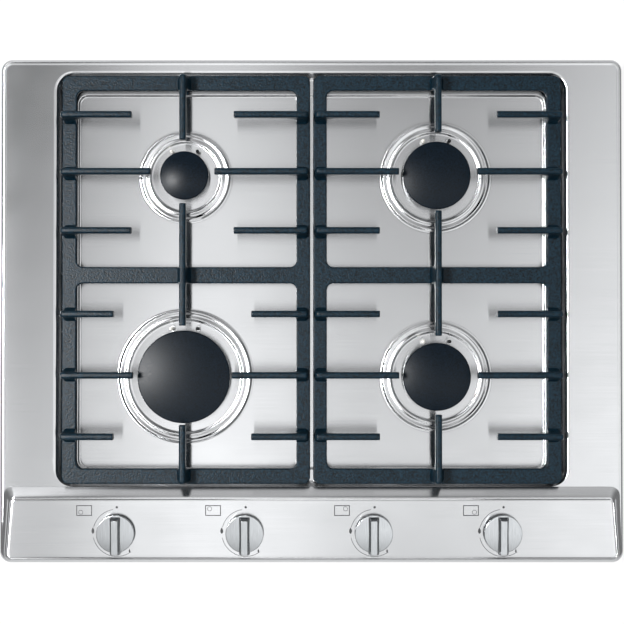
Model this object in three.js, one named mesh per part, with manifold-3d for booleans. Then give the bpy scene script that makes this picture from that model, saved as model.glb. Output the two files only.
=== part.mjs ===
// A built-in gas cooktop with four burners, front controls and two cast pan supports.
// Millimetres. +X is right, +Y is towards the wall, +Z is up. The origin lies under the
// middle of the cooktop, level with the underside of its box.

import * as THREE from "three";
import { mergeVertices } from "three/addons/utils/BufferGeometryUtils.js";
import Module from "manifold-3d";

// ---- Driving sizes -------------------------------------------------------------------

const seatGap = 0.3; // between pieces that rest on each other
const sheet = 1; // steel of the top and the box

// pressed top
const topWidth = 650;
const topDepth = 525;
const topCorner = 12;
const builtInDepth = 52; // worktop surface above the underside of the box
const rimHeight = 6; // flat border above the worktop
const edgeRoll = 6.2; // width of the rolled outer edge
const edgeBead = 0.3; // crest of that roll above the flat border
const sideBorder = 59.5;
const rearBorder = 15.5;
const wellCorner = 17;
const wellRoll = 1.6; // rounding where the border turns down into the well
const wellDepth = 6.5; // border down to the ledge that carries the pan supports
const wellSlope = 3.8; // run of the well's wall
const ledgeWidth = 20.8;
const ledgeFront = 17.5;
const ledgeCorner = 10;
const floorDrop = 2; // ledge down to the floor

// control console
const consoleDepth = 79; // front edge to the foot of the ramp
const rampRun = 13;
const consoleRise = 6.4; // top of the ramp above the border
const consoleFall = 3.5; // from the ramp down to the front
const consoleSideRear = 13.2;
const consoleSideFront = 8.6;
const consoleFront = 4.8;
const consoleRound = 1.4;

// burners
const burnerSpanX = 262;
const burnerSpanY = 208.9;
const burnerShift = -1.2; // all four sit a little left of the middle
const rearBurnerY = 139.9;
const smallCap = 25.2; // radii
const mediumCap = 35.2;
const largeCap = 48;
const capLift = 16.2; // underside of the cap's rim above the floor
const capThick = 3.8;
const capDome = 1.6;
const capSpigot = 2.4; // plug under the cap that drops into the burner head
const headInset = 1.6; // burner head's edge inside the cap's
const headHeight = 8.6;
const headWall = 4.2;
const headPlate = 2.4;
const headSkirt = 6; // length that drops into the cup
const portWidth = 2.2;
const portDepth = 3;
const portPitch = 17;
const collarInset = 6.5; // cup's collar inside the cap's edge
const cupWall = 2.2;
const cupSides = 14; // facets round the cup
const cupFloor = 5; // thickness under the throat
const cupBowl = 6; // depth of the bowl under the flange
const cupCone = 8; // height of the cone between bowl and throat
const cupEar = 2.6; // material round a spark plug or sensor
const cupCollar = 2.6; // collar above the dish
const cupFlange = 2;
const throatRadius = 9;
const cupBottom = 15; // height of the injector's underside
const dishLift = 0.8;
const dishWidth = 10; // from the cap's edge to the pressed bead
const beadWidth = 12;
const beadHeight = 2.3;
const sensorOffset = 3.7; // spark plug and flame sensor outside the cap's edge
const sensorSpread = 13.5; // and to each side of the burner's middle line
const sparkRadius = 2.1;
const probeRadius = 1.8;
const sensorHole = 0.5; // clearance round either
const sensorTail = 12; // length of either below the cup's flange
const electrodeRadius = 0.8;

// pan supports
const supportSide = 6.3; // clearance to the well's edge at the side
const supportRear = 2.9;
const supportFront = 3.5;
const supportSplit = 3.2; // between the two supports
const sideRail = 15; // widths of the rails, from above
const splitRail = 14.2; // beside the split
const rearRail = 15.5;
const middleRail = 17;
const frontRail = 16;
const railHeight = 10;
const railCorner = 7;
const railBevel = 1.2;
const railDraft = 1.4; // each side of a rail leans in by this towards its underside
const middleShift = 2.2; // middle rail in front of halfway between the rows beside it
const footSides = 6;
const footHeight = 3.2;
const footRadius = 4.8;
const footStem = 2.2;
const fingerWidth = 6.8;
const fingerRise = 24; // top of the fingers above the rails
const fingerDepth = 9.5;
const fingerCrown = 2.2; // rounding of a finger's top edges
const fingerInset = 1.6; // finger's outer end inside the rail's edge
const rootFlare = 4.5; // widening of a finger's foot on the rail, each side
const rowShift = 2.1; // middle finger rows behind the burners' middles
const rearRows = [-60.6, 0, 58.4]; // finger rows of the rear cells from their middle row
const frontRows = [-62.7, 0, 62.7];
const smallTips = 32.7; // finger tips from the middle of their row
const mediumTips = 40.3;
const largeTips = 50.8;
const outerTips = 19.7; // how much further out the tips of the outer rows stop

// knobs and taps
const knobPitch = 133.6;
const knobShift = -2.5; // the row sits a little left of the middle
const knobBack = 34.4; // knob centre in front of the foot of the panel's rear edge
const knobRadius = 19.6;
const knobPush = 3; // travel when a knob is pushed in
const knobGap = 0.5; // left under a pushed knob
const discHeight = 3.8;
const discBevel = 1;
const discDome = 0.3;
const gripHeight = 8.2;
const gripWidth = 7.5;
const gripFoot = 11.4; // width of the grip where it meets the disc
const gripReach = 2.2; // grip's front end beyond the disc
const gripTaper = 5; // slope of the grip's rear end
const gripRound = 0.9; // rounding of its top edges
const spindleRadius = 3;
const spindleFlat = 2; // from the axis to the flat
const spindleInKnob = 9;
const spindleHole = 5;
const boreClearance = 0.6;
const tapWidth = 24;
const tapDepth = 22;
const tapTop = 14; // tap block under the panel's surface
const tapBottom = 40;
const tapPlate = 2;
const tapEar = 6; // plate beyond the block, each side
const tapNeck = 4; // wall of the neck round the spindle
const stemDepth = 30; // spindle's lower end under the panel's surface
const plungerRadius = 3;
const plungerLength = 3.4;
const magnetRadius = 5.5;
const magnetLength = 19;
const magnetDrop = 21;
const outletRadius = 5;
const outletLength = 5;
const outletDrop = 34;

// gas line
const railRadius = 8;
const railBend = 30;
const railInset = 24; // its leg along the side, inside the box's outline
const railOverhang = 20; // its closed end beyond the outermost tap's axis
const pipeRadius = 3.2;
const injectorReach = 20;
const inletRadius = 10.5;
const inletBore = 7;
const inletLength = 26;
const inletNut = 12; // half across the corners
const inletNutLength = 9;

// box, seal and fittings
const boxSide = 47; // box inside the top's outline
const boxFront = 14.5;
const boxRear = 22.5;
const boxCorner = 8;
const notchWidth = 52; // rear right corner left free for the gas connection
const notchDepth = 38;
const sealInset = 7.2;
const sealWidth = 5;
const worktop = 38;
const clampReach = 22;
const clampWidth = 20;
const clampThick = 1.6;
const clampY = 150;
const clampLip = 3; // turned-down end of its arm
const screwRadius = 4;
const screwHead = 2.4;
const moduleWidth = 66;
const moduleDepth = 42;
const moduleHeight = 20;
const moduleInset = 82; // its middle inside the box's outline
const moduleGap = 4; // to the box's rear wall
const glandRadius = 7;
const glandReach = 7;
const sparkOutlet = 3; // radius of a spark outlet
const cableBore = 3.6;

// ---- Heights and places that follow from them ----------------------------------------

const rimZ = builtInDepth + rimHeight;
const edgeZ = builtInDepth + seatGap;
const ledgeZ = rimZ - wellDepth;
const floorZ = ledgeZ - floorDrop;
const dishZ = floorZ + dishLift;
const capZ = floorZ + capLift;
const headTopZ = capZ - seatGap;
const headBaseZ = headTopZ - headHeight;
const flangeTopZ = dishZ - sheet - seatGap;
const injectorZ = cupBottom + throatRadius;
const sealTopZ = rimZ - sheet - seatGap;

const halfWidth = topWidth / 2;
const halfDepth = topDepth / 2;
const wellX = halfWidth - sideBorder;
const wellRearY = halfDepth - rearBorder;
const rampFootY = -halfDepth + consoleDepth;
const panelRearY = rampFootY - rampRun;
const panelFrontY = -halfDepth + consoleFront;
const panelTilt = Math.atan(consoleFall / (panelRearY - panelFrontY));
const panelZ = (y) => rimZ + consoleRise - (panelRearY - y) * Math.tan(panelTilt);

const supportX = wellX - supportSide;
const supportRearY = wellRearY - supportRear;
const supportFrontY = rampFootY + supportFront;
const railBaseZ = ledgeZ + seatGap + footHeight + seatGap;
const railTopZ = railBaseZ + railHeight;
const fingerTopZ = railTopZ + fingerRise;

const burnerLeftX = burnerShift - burnerSpanX / 2;
const burnerRightX = burnerShift + burnerSpanX / 2;
const frontBurnerY = rearBurnerY - burnerSpanY;
const burners = [
  { name: "front_left", x: burnerLeftX, y: frontBurnerY, cap: largeCap, tips: largeTips },
  { name: "rear_left", x: burnerLeftX, y: rearBurnerY, cap: smallCap, tips: smallTips },
  { name: "rear_right", x: burnerRightX, y: rearBurnerY, cap: mediumCap, tips: mediumTips },
  { name: "front_right", x: burnerRightX, y: frontBurnerY, cap: mediumCap, tips: mediumTips },
];
burners.forEach((burner, i) => {
  burner.knobX = knobShift + (i - (burners.length - 1) / 2) * knobPitch;
  burner.rowY = burner.y + rowShift;
  burner.rows = (burner.name.startsWith("rear") ? rearRows : frontRows).map(
    (step) => burner.rowY + step,
  );
  burner.segments = burner.cap < largeCap ? 20 : 24;
  burner.collar = burner.cap - collarInset;
  const reach = burner.cap + sensorOffset;
  const angle = Math.asin(Math.min(0.5, sensorSpread / reach));
  burner.sensors = [-angle, angle].map((a) => [
    burner.x + reach * Math.sin(a),
    burner.y + reach * Math.cos(a),
  ]);
});
const knobY = panelRearY - knobBack;
const discZ = knobPush + knobGap;
const discTopZ = discZ + discHeight;
const gripTopZ = discTopZ + gripHeight;
const stemTopZ = discZ + spindleInKnob;
const boreEnd = stemDepth + seatGap + plungerLength + knobPush + knobGap;
const tapFoot = Math.max(tapBottom, boreEnd + 2);

// A point given in the frame of the sloping panel: forward along it and down into it.
const onPanel = (x, forward, depth) => [
  x,
  knobY + forward * Math.cos(panelTilt) + depth * Math.sin(panelTilt),
  panelZ(knobY) + forward * Math.sin(panelTilt) - depth * Math.cos(panelTilt),
];
const [, gasY, gasZ] = onPanel(0, 0, tapFoot + seatGap + railRadius);

const boxX = halfWidth - boxSide;
const railRightX = boxX - railInset;
const railLeftX = burners[0].knobX - railOverhang;
const moduleX = moduleInset - boxX;
const boxFrontY = -halfDepth + boxFront;
const boxRearY = halfDepth - boxRear;
const notchX = boxX - notchWidth;
const notchY = boxRearY - notchDepth;
const inletY = notchY + 6; // where the gas rail ends and the connection starts
const moduleBase = sheet + seatGap;
const glandZ = moduleBase + moduleHeight / 2;

// ---- Solids --------------------------------------------------------------------------

const wasm = await Module();
wasm.setup();

// A three.js geometry as a solid with shared vertices and its faces outwards.
function solid(geometry) {
  const bare = new THREE.BufferGeometry().setIndex(geometry.index);
  bare.setAttribute("position", geometry.getAttribute("position"));
  const merged = mergeVertices(bare, 1e-4);
  const p = merged.getAttribute("position");
  const corners = [0, 1, 2].map(() => new THREE.Vector3());
  const faces = [];
  let volume = 0;
  for (let i = 0; i < merged.index.count; i += 3) {
    const [a, b, c] = [0, 1, 2].map((k) => merged.index.getX(i + k));
    if (a === b || b === c || c === a) continue;
    faces.push([a, b, c]);
    [a, b, c].forEach((v, k) => corners[k].fromBufferAttribute(p, v));
    volume += corners[0].dot(corners[1].clone().cross(corners[2]));
  }
  const triVerts = new Uint32Array(faces.flatMap((f) => (volume < 0 ? f.reverse() : f)));
  return new wasm.Manifold(
    new wasm.Mesh({ numProp: 3, vertProperties: new Float32Array(p.array), triVerts }),
  );
}

const union = (solids) => solids.reduce((sum, next) => sum.add(next));

function toGeometry(made) {
  const mesh = made.getMesh();
  const geometry = new THREE.BufferGeometry();
  geometry.setAttribute("position", new THREE.BufferAttribute(mesh.vertProperties, 3));
  geometry.setIndex(new THREE.BufferAttribute(mesh.triVerts, 1));
  geometry.computeVertexNormals();
  return geometry;
}

// A solid through a stack of levels. Each level is a list of closed loops of [x, y, z]
// points, the outline first and then any holes, with like counts and one sense throughout.
function stack(levels, flat = (point) => new THREE.Vector2(point[0], point[1])) {
  const walls = levels.map((loops) => loops.map((loop, i) => (i ? [...loop].reverse() : loop)));
  const counts = walls[0].map((loop) => loop.length);
  const size = counts.reduce((sum, n) => sum + n);
  const index = [];
  walls.slice(1).forEach((_, level) => {
    let start = level * size;
    counts.forEach((n) => {
      for (let j = 0; j < n; j++) {
        const a = start + j;
        const b = start + ((j + 1) % n);
        index.push(a, b, b + size, a, b + size, a + size);
      }
      start += n;
    });
  });
  const { area, triangulateShape } = THREE.ShapeUtils;
  for (const level of [0, walls.length - 1]) {
    const loops = walls[level].map((loop) => loop.map(flat));
    const points = loops.flat();
    const sense = Math.sign(area(loops[0])) * (level ? 1 : -1);
    triangulateShape(loops[0], loops.slice(1)).forEach((face) => {
      const same = Math.sign(area(face.map((i) => points[i]))) === sense;
      index.push(...(same ? face : face.reverse()).map((i) => i + level * size));
    });
  }
  const geometry = new THREE.BufferGeometry();
  const points = new Float32Array(walls.flat(3));
  geometry.setAttribute("position", new THREE.BufferAttribute(points, 3));
  geometry.setIndex(index);
  return solid(geometry);
}

// Points of a rectangle with round corners, anticlockwise from above. Where half widths at
// the front and the rear are given, it is a trapezium about X = 0 with those instead.
function roundRect(x0, x1, y0, y1, radius, z, steps = 3, [front, rear] = []) {
  const r = Math.max(0.2, radius);
  const corners = [
    [(front ?? x1) - r, y0 + r, -90],
    [(rear ?? x1) - r, y1 - r, 0],
    [(rear === undefined ? x0 : -rear) + r, y1 - r, 90],
    [(front === undefined ? x0 : -front) + r, y0 + r, 180],
  ];
  return corners.flatMap(([cx, cy, from]) =>
    Array.from({ length: steps + 1 }, (_, i) => {
      const a = THREE.MathUtils.degToRad(from + (90 * i) / steps);
      return [cx + r * Math.cos(a), cy + r * Math.sin(a), z];
    }),
  );
}

// A solid of revolution about the Z axis through [x, y], from [radius, height] points.
function turned(profile, segments, x = 0, y = 0) {
  const points = profile.map(([r, z]) => new THREE.Vector2(r, z));
  const ends = [profile[0], profile[profile.length - 1]];
  if (ends.some(([r]) => r > 0)) points.push(points[0].clone());
  const lathe = new THREE.LatheGeometry(points, segments).rotateX(Math.PI / 2);
  return solid(lathe.translate(x, y, 0));
}

// A cylinder from one height to another, or along another axis through its start.
function rod(radius, length, segments, start = [0, 0, 0], along = "z") {
  const rodGeometry = new THREE.CylinderGeometry(radius, radius, length, segments);
  rodGeometry.translate(0, length / 2, 0);
  if (along === "z") rodGeometry.rotateX(Math.PI / 2);
  if (along === "x") rodGeometry.rotateZ(-Math.PI / 2);
  return solid(rodGeometry.translate(...start));
}

function block(x0, x1, y0, y1, z0, z1) {
  const box = new THREE.BoxGeometry(x1 - x0, y1 - y0, z1 - z0);
  return solid(box.translate((x0 + x1) / 2, (y0 + y1) / 2, (z0 + z1) / 2));
}

// A round tube along a curve.
function bentTube(curve, radius, sides, steps) {
  const section = new THREE.Shape(
    Array.from({ length: sides }, (_, i) => {
      const a = (i / sides) * 2 * Math.PI;
      return new THREE.Vector2(radius * Math.cos(a), radius * Math.sin(a));
    }),
  );
  return solid(new THREE.ExtrudeGeometry(section, { steps, extrudePath: curve }));
}

// ---- The pressed top -----------------------------------------------------------------

// The border with its rolled edge, drawn inwards by an offset, down to a given height.
function borderForm(offset, bottom) {
  const ring = (inset, z) => {
    const [x, y] = [halfWidth - inset - offset, halfDepth - inset - offset];
    return [roundRect(-x, x, -y, y, topCorner - inset - offset, z)];
  };
  return stack([
    ring(0, bottom),
    ring(0, rimZ - 0.6 * rimHeight - offset / 2),
    ring(0.25 * edgeRoll, rimZ - 0.2 * rimHeight - 0.8 * offset),
    ring(0.65 * edgeRoll, rimZ + edgeBead - offset),
    ring(edgeRoll, rimZ - offset),
  ]);
}

// The raised console with its ramp, drawn inwards by an offset.
function consoleForm(offset, bottom) {
  const ring = (sides, front, rear, height) => {
    const [xFront, xRear] = sides.map((inset) => halfWidth - inset - offset);
    const [y0, y1] = [-halfDepth + front + offset, rampFootY - rear - offset];
    const radius = Math.max(topCorner - front - offset, 2);
    return [
      roundRect(-1, 1, y0, y1, radius, 0, 2, [xFront, xRear]).map(([x, y]) => [x, y, height(y)]),
    ];
  };
  const level = (z) => () => z;
  const slope = (drop) => (y) => panelZ(y) - drop - offset;
  const nearTop = [consoleSideFront - consoleRound, consoleSideRear - consoleRound];
  return stack([
    ring([0, 0], 0, 0, level(bottom)),
    ring([0, 0], 0, 0, level(rimZ - 0.6 * rimHeight - offset / 2)),
    ring([edgeRoll / 2, edgeRoll], consoleFront / 3, 0, level(rimZ - offset)),
    ring(nearTop, consoleFront - consoleRound, rampRun - consoleRound, slope(consoleRound / 2)),
    ring([consoleSideFront, consoleSideRear], consoleFront, rampRun, slope(0)),
  ]);
}

// The well: its rolled lip, sloping wall, ledge and floor, drawn outwards by an offset.
function wellForm(offset) {
  const ring = (inset, z, side = inset, front = inset, corner = wellCorner - inset) => {
    const x = wellX - side + offset;
    const [y0, y1] = [rampFootY + front - offset, wellRearY - inset + offset];
    return [roundRect(-x, x, y0, y1, corner + offset, z)];
  };
  const step = [ledgeWidth, ledgeFront, ledgeCorner];
  const foot = floorDrop * 0.9;
  return stack([
    ring(ledgeWidth + foot, floorZ - offset, step[0] + foot, step[1] + foot, step[2] - foot),
    ring(ledgeWidth, ledgeZ - offset, ...step),
    ring(wellSlope, ledgeZ - offset),
    ring(0.7 * wellSlope, ledgeZ + 1.2 - offset),
    ring(0, rimZ - 0.75 * wellRoll),
    ring(-1.5 * wellRoll, rimZ + 0.375 * wellRoll, -1.5 * wellRoll, -0.25 * wellRoll),
    ring(-1.5 * wellRoll, rimZ + 2 * consoleRise, -1.5 * wellRoll, -0.25 * wellRoll),
  ]);
}

// The dish and double bead pressed round a burner, as one ring of sheet.
function burnerPressing({ x, y, cap, collar, segments }) {
  const hole = collar + sensorHole;
  const dish = cap + dishWidth;
  const foot = dish + beadWidth;
  const crests = [dish + 0.22 * beadWidth, dish + 0.8 * beadWidth];
  const top = [
    [foot + 1.5, floorZ],
    [foot, floorZ],
    [crests[1], floorZ + 0.9 * beadHeight],
    [dish + 0.5 * beadWidth, floorZ + 0.55 * beadHeight],
    [crests[0], floorZ + beadHeight],
    [dish, dishZ],
    [hole, dishZ],
  ];
  const under = [
    [hole, dishZ - sheet],
    [dish - sheet, dishZ - sheet],
    [foot + 1.5, floorZ - sheet],
  ];
  return turned([...top, ...under], segments, x, y);
}

function buildTop() {
  const outer = (bottom) => borderForm(0, bottom).add(consoleForm(0, bottom));
  const shell = outer(edgeZ).subtract(topCavity(sheet, edgeZ - 1));
  const skin = wellForm(sheet).intersect(outer(0));
  let top = shell.add(skin).subtract(wellForm(0));
  for (const burner of burners) {
    const foot = burner.cap + dishWidth + beadWidth + 1;
    const room = rod(foot, 10, burner.segments, [burner.x, burner.y, floorZ - 5]);
    top = top.subtract(room).add(burnerPressing(burner));
    burner.sensors.forEach(([x, y], i) => {
      const r = (i ? probeRadius : sparkRadius) + 2 * sensorHole;
      top = top.subtract(rod(r, 10, 6, [x, y, dishZ - 5]));
    });
    const hole = new THREE.CylinderGeometry(spindleHole, spindleHole, 4 * sheet, 8);
    hole.rotateX(Math.PI / 2 + panelTilt).translate(burner.knobX, knobY, panelZ(knobY));
    top = top.subtract(solid(hole));
  }
  return top;
}

// The space inside the turned-down edges, open below.
function topCavity(offset, bottom) {
  return borderForm(offset, bottom).add(consoleForm(offset, bottom));
}

// ---- Pan supports --------------------------------------------------------------------

// Half a cross-section of a finger, from its foot to its crown: [half width, height].
function fingerSection(rise, top, foot, flare) {
  const half = fingerWidth / 2;
  const crown = Math.min(fingerCrown, half * 0.8);
  const bottom = THREE.MathUtils.lerp(railTopZ - railBevel, top - fingerDepth, rise);
  const wide = half + rootFlare * flare;
  const hip = bottom + (flare > 0.5 ? 0.24 * fingerRise : 0.2 * fingerDepth);
  return [
    [flare > 0.5 ? wide : half * 0.7 * foot + half * 0.3, bottom],
    [half * (flare > 0.5 ? 1.18 : 1) * foot, hip],
    [half * foot, top - crown],
    [Math.max(half - crown, 0.8) * foot, top],
  ];
}

// A finger through stations [distance along it, rise of its underside, top, width, flare].
function fingerForm(origin, direction, stations) {
  const [dx, dy] = direction;
  const levels = stations.map(([s, rise, top, foot, flare]) => {
    const half = fingerSection(rise, top, foot, flare);
    const section = [...half, ...half.map(([u, z]) => [-u, z]).reverse()];
    return [section.map(([u, z]) => [origin[0] + dx * s - dy * u, origin[1] + dy * s + dx * u, z])];
  });
  const across = (point) =>
    new THREE.Vector2((point[1] - origin[1]) * dx - (point[0] - origin[0]) * dy, point[2]);
  return stack(levels, across);
}

const tipStations = (tip) => [
  [tip - 0.8, 1, fingerTopZ, 1, 0],
  [tip, 0.97, fingerTopZ - 0.8, 0.88, 0],
];

// From a finger's foot at the edge of a rail to where its arm is clear of the foot's arch.
const archStations = (edge) => [
  [edge - 0.4, 0, fingerTopZ, 1, 1],
  [edge + 1, 0.15, fingerTopZ, 1, 0],
  [edge + 0.42 * fingerRise, 0.94, fingerTopZ, 1, 0],
];

// A finger from the outer edge of a rail to its tip.
function railFinger(origin, direction, rail, length) {
  return fingerForm(origin, direction, [
    [fingerInset, 0, fingerTopZ - 3.4, 0.6, 0.8],
    [fingerInset + 2.4, 0, fingerTopZ, 1, 1],
    ...archStations(rail),
    ...tipStations(length),
  ]);
}

// The finger that stands on the rail between the two cells and reaches into both.
function bridgeFinger(x, y, rail, rearTip, frontTip) {
  const half = (sign, tip) =>
    [...archStations(rail / 2), ...tipStations(Math.abs(tip - y))].map(([s, ...rest]) => [
      sign * s,
      ...rest,
    ]);
  return fingerForm([x, y], [0, 1], [...half(-1, frontTip).reverse(), ...half(1, rearTip)]);
}

// The frame and fingers of one support. Its two burners lie on the same side.
function buildSupport(side) {
  const [front, rear] = ["front", "rear"].map((row) =>
    burners.find((b) => b.name.startsWith(row) && Math.sign(b.x) === side),
  );
  const inner = supportSplit / 2;
  const [x0, x1] = side < 0 ? [-supportX, -inner] : [inner, supportX];
  const [left, right] = side < 0 ? [sideRail, splitRail] : [splitRail, sideRail];
  const middleY = (front.rows[2] + rear.rows[0]) / 2 - middleShift;
  const cells = [
    [supportFrontY + frontRail, middleY - middleRail / 2],
    [middleY + middleRail / 2, supportRearY - rearRail],
  ];
  const loop = ([xa, xb, ya, yb], bevel, z) =>
    roundRect(xa + bevel, xb - bevel, ya + bevel, yb - bevel, railCorner - bevel, z, 2);
  const level = (z, bevel) => [
    loop([x0, x1, supportFrontY, supportRearY], bevel, z),
    ...cells.map(([y0, y1]) => loop([x0 + left, x1 - right, y0, y1], -bevel, z)),
  ];
  let support = stack([
    level(railBaseZ, railDraft),
    level(railTopZ - railBevel, 0),
    level(railTopZ, railBevel),
  ]);
  const fingers = [front, rear].flatMap((burner) =>
    burner.rows.flatMap((y) => {
      const tips = burner.tips + (y === burner.rowY ? 0 : outerTips);
      return [
        railFinger([x0, y], [1, 0], left, burner.x - tips - x0),
        railFinger([x1, y], [-1, 0], right, x1 - burner.x - tips),
      ];
    }),
  );
  const [frontTip, rearTip] = [front.rowY - front.tips, rear.rowY + rear.tips];
  fingers.push(
    railFinger([rear.x, supportRearY], [0, -1], rearRail, supportRearY - rearTip),
    railFinger([front.x, supportFrontY], [0, 1], frontRail, frontTip - supportFrontY),
    bridgeFinger(rear.x, middleY, middleRail, rear.rowY - rear.tips, front.rowY + front.tips),
  );
  support = union([support, ...fingers]);
  for (const [x, y] of footPlaces(side)) {
    const socket = footHeight + seatGap;
    const hole = rod(footStem + seatGap, socket + 1, footSides, [x, y, railBaseZ - 1]);
    support = support.subtract(hole);
  }
  return support;
}

function footPlaces(side) {
  const xs = [supportSplit / 2 + splitRail / 2, supportX - sideRail / 2];
  const ys = [supportFrontY + frontRail / 2, supportRearY - rearRail / 2];
  return ys.flatMap((y) => xs.map((x) => [side * x, y]));
}

// A rubber foot with a stem that plugs into the rail.
function buildFoot([x, y]) {
  const base = ledgeZ + seatGap;
  const profile = [
    [0, base],
    [footRadius - 0.6, base],
    [footRadius, base + footHeight],
    [footStem, base + footHeight],
    [footStem, base + 2 * footHeight],
    [0, base + 2 * footHeight],
  ];
  return turned(profile, footSides, x, y);
}

// ---- Burners -------------------------------------------------------------------------

function buildCap({ x, y, cap, segments }) {
  const spigot = cap - headInset - headWall - seatGap;
  const profile = [
    [0, capZ - capSpigot],
    [spigot, capZ - capSpigot],
    [spigot, capZ],
    [cap - 0.8, capZ],
    [cap, capZ + 0.5 * capThick],
    [cap - 1.4, capZ + capThick],
    [0.6 * cap, capZ + capThick + 0.75 * capDome],
    [0, capZ + capThick + capDome],
  ];
  return turned(profile, segments, x, y);
}

// The flame spreader: a crown with flame ports on a plate whose skirt drops into the cup.
function buildHead({ x, y, cap, collar, segments }) {
  const edge = cap - headInset;
  const inner = edge - headWall;
  const skirt = (collar - cupWall) * Math.cos(Math.PI / cupSides) - seatGap;
  const plate = headBaseZ + headPlate;
  const profile = [
    [skirt - headPlate, headBaseZ - headSkirt],
    [skirt, headBaseZ - headSkirt],
    [skirt, headBaseZ],
    [edge - 0.5, headBaseZ],
    [edge, headTopZ],
    [inner, headTopZ],
    [inner, plate],
    [skirt - headPlate, plate],
  ];
  let head = turned(profile, segments, x, y);
  const ports = 4 * Math.round((2 * Math.PI * edge) / (4 * portPitch));
  for (let i = 0; i < ports; i++) {
    const slot = new THREE.BoxGeometry(portWidth, 3 * headWall, 2 * portDepth);
    slot.translate(0, edge - headWall / 2, headTopZ).rotateZ(((i + 0.5) / ports) * 2 * Math.PI);
    head = head.subtract(solid(slot.translate(x, y, 0)));
  }
  return head;
}

// The cup that carries head, spark plug and flame sensor under the top, with its injector.
function buildCup({ x, y, collar, sensors }) {
  const flange = collar + 5;
  const bowlZ = flangeTopZ - cupFlange - cupBowl;
  const profile = [
    [0, cupBottom],
    [throatRadius + cupWall, cupBottom],
    [throatRadius + cupWall, bowlZ - cupCone],
    [flange, flangeTopZ - cupFlange],
    [flange, flangeTopZ],
    [collar, flangeTopZ],
    [collar, dishZ + cupCollar],
    [collar - cupWall, dishZ + cupCollar],
    [collar - cupWall, bowlZ],
    [throatRadius, bowlZ - cupCone],
    [throatRadius, cupBottom + cupFloor],
    [0, cupBottom + cupFloor],
  ];
  const parts = [turned(profile, cupSides, x, y)];
  const holes = [];
  const arm = throatRadius / 2 + injectorReach;
  parts.push(rod(pipeRadius + 3, arm, 8, [x, y - throatRadius - injectorReach, injectorZ], "y"));
  sensors.forEach(([sx, sy], i) => {
    const hole = (i ? probeRadius : sparkRadius) + sensorHole;
    const [near, far] = [collar - cupWall / 2, Math.hypot(sx - x, sy - y) + hole + cupEar];
    const ear = new THREE.BoxGeometry(2 * (hole + cupEar), far - near, 2 * cupFlange);
    ear.translate(0, (near + far) / 2, flangeTopZ - cupFlange);
    parts.push(solid(ear.rotateZ(Math.atan2(x - sx, sy - y)).translate(x, y, 0)));
    holes.push(rod(hole, 4 * cupFlange, 6, [sx, sy, flangeTopZ - 3 * cupFlange]));
  });
  return union(parts).subtract(union(holes));
}

// A ceramic spark plug: a white body and its thin electrode.
function buildSpark([x, y]) {
  const profile = [
    [0, flangeTopZ - sensorTail],
    [sparkRadius, flangeTopZ - sensorTail],
    [sparkRadius, capZ - 2],
    [electrodeRadius, capZ - electrodeRadius],
    [electrodeRadius, capZ + 2 * electrodeRadius],
    [0, capZ + 2 * electrodeRadius],
  ];
  return turned(profile, 6, x, y);
}

// A flame sensor: a plain metal probe.
function buildProbe([x, y]) {
  const profile = [
    [0, flangeTopZ - sensorTail],
    [probeRadius, flangeTopZ - sensorTail],
    [probeRadius, capZ - 1],
    [0.6 * probeRadius, capZ],
    [0, capZ],
  ];
  return turned(profile, 6, x, y);
}

// ---- Knobs and taps, each in the frame of its place on the sloping panel ---------------

// A round bar with a flat, as an outline.
function flattedOutline(radius, flat, steps) {
  const half = Math.acos(Math.min(0.95, flat / radius));
  const shape = new THREE.Shape();
  for (let i = 0; i <= steps; i++) {
    const a = Math.PI / 2 + half + (i / steps) * 2 * (Math.PI - half);
    const point = [radius * Math.cos(a), radius * Math.sin(a)];
    if (i) shape.lineTo(...point);
    else shape.moveTo(...point);
  }
  return shape;
}

function flattedBar(radius, flat, z0, z1) {
  const options = { depth: z1 - z0, bevelEnabled: false };
  const bar = new THREE.ExtrudeGeometry(flattedOutline(radius, flat, 7), options);
  return solid(bar.translate(0, 0, z0));
}

function buildKnob() {
  const disc = turned(
    [
      [0, discZ],
      [knobRadius, discZ],
      [knobRadius, discTopZ - discBevel],
      [knobRadius - discBevel, discTopZ],
      [0, discTopZ + discDome],
    ],
    24,
  );
  const ring = (half, rear, front, z) => [roundRect(-half, half, -front, rear, half * 0.3, z, 2)];
  const rear = knobRadius - discBevel;
  const front = knobRadius + gripReach;
  const grip = stack([
    ring(gripFoot / 2, rear, front - gripRound, discTopZ - discBevel),
    ring((gripWidth + gripRound) / 2, rear - gripTaper, front, gripTopZ - 1.5 * gripRound),
    ring((gripWidth - gripRound) / 2, rear - gripTaper - gripRound, front - gripRound, gripTopZ),
  ]);
  const [radius, flat] = [spindleRadius + seatGap, spindleFlat + seatGap];
  const bore = flattedBar(radius, flat, discZ - 1, stemTopZ + seatGap);
  return disc.add(grip).subtract(bore);
}

function buildSpindle() {
  const shaft = rod(spindleRadius, stemDepth + discZ - 1, 8, [0, 0, -stemDepth]);
  return shaft.add(flattedBar(spindleRadius, spindleFlat, discZ - 2, stemTopZ));
}

// The brass push piece under a spindle, which lifts the flame guard's valve.
function buildPlunger() {
  const top = -stemDepth - seatGap;
  const profile = [
    [0, top - plungerLength],
    [plungerRadius / 2, top - plungerLength],
    [plungerRadius / 2, top - plungerLength / 2],
    [plungerRadius, top - plungerLength / 2],
    [plungerRadius, top],
    [0, top],
  ];
  return turned(profile, 6);
}

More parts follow.
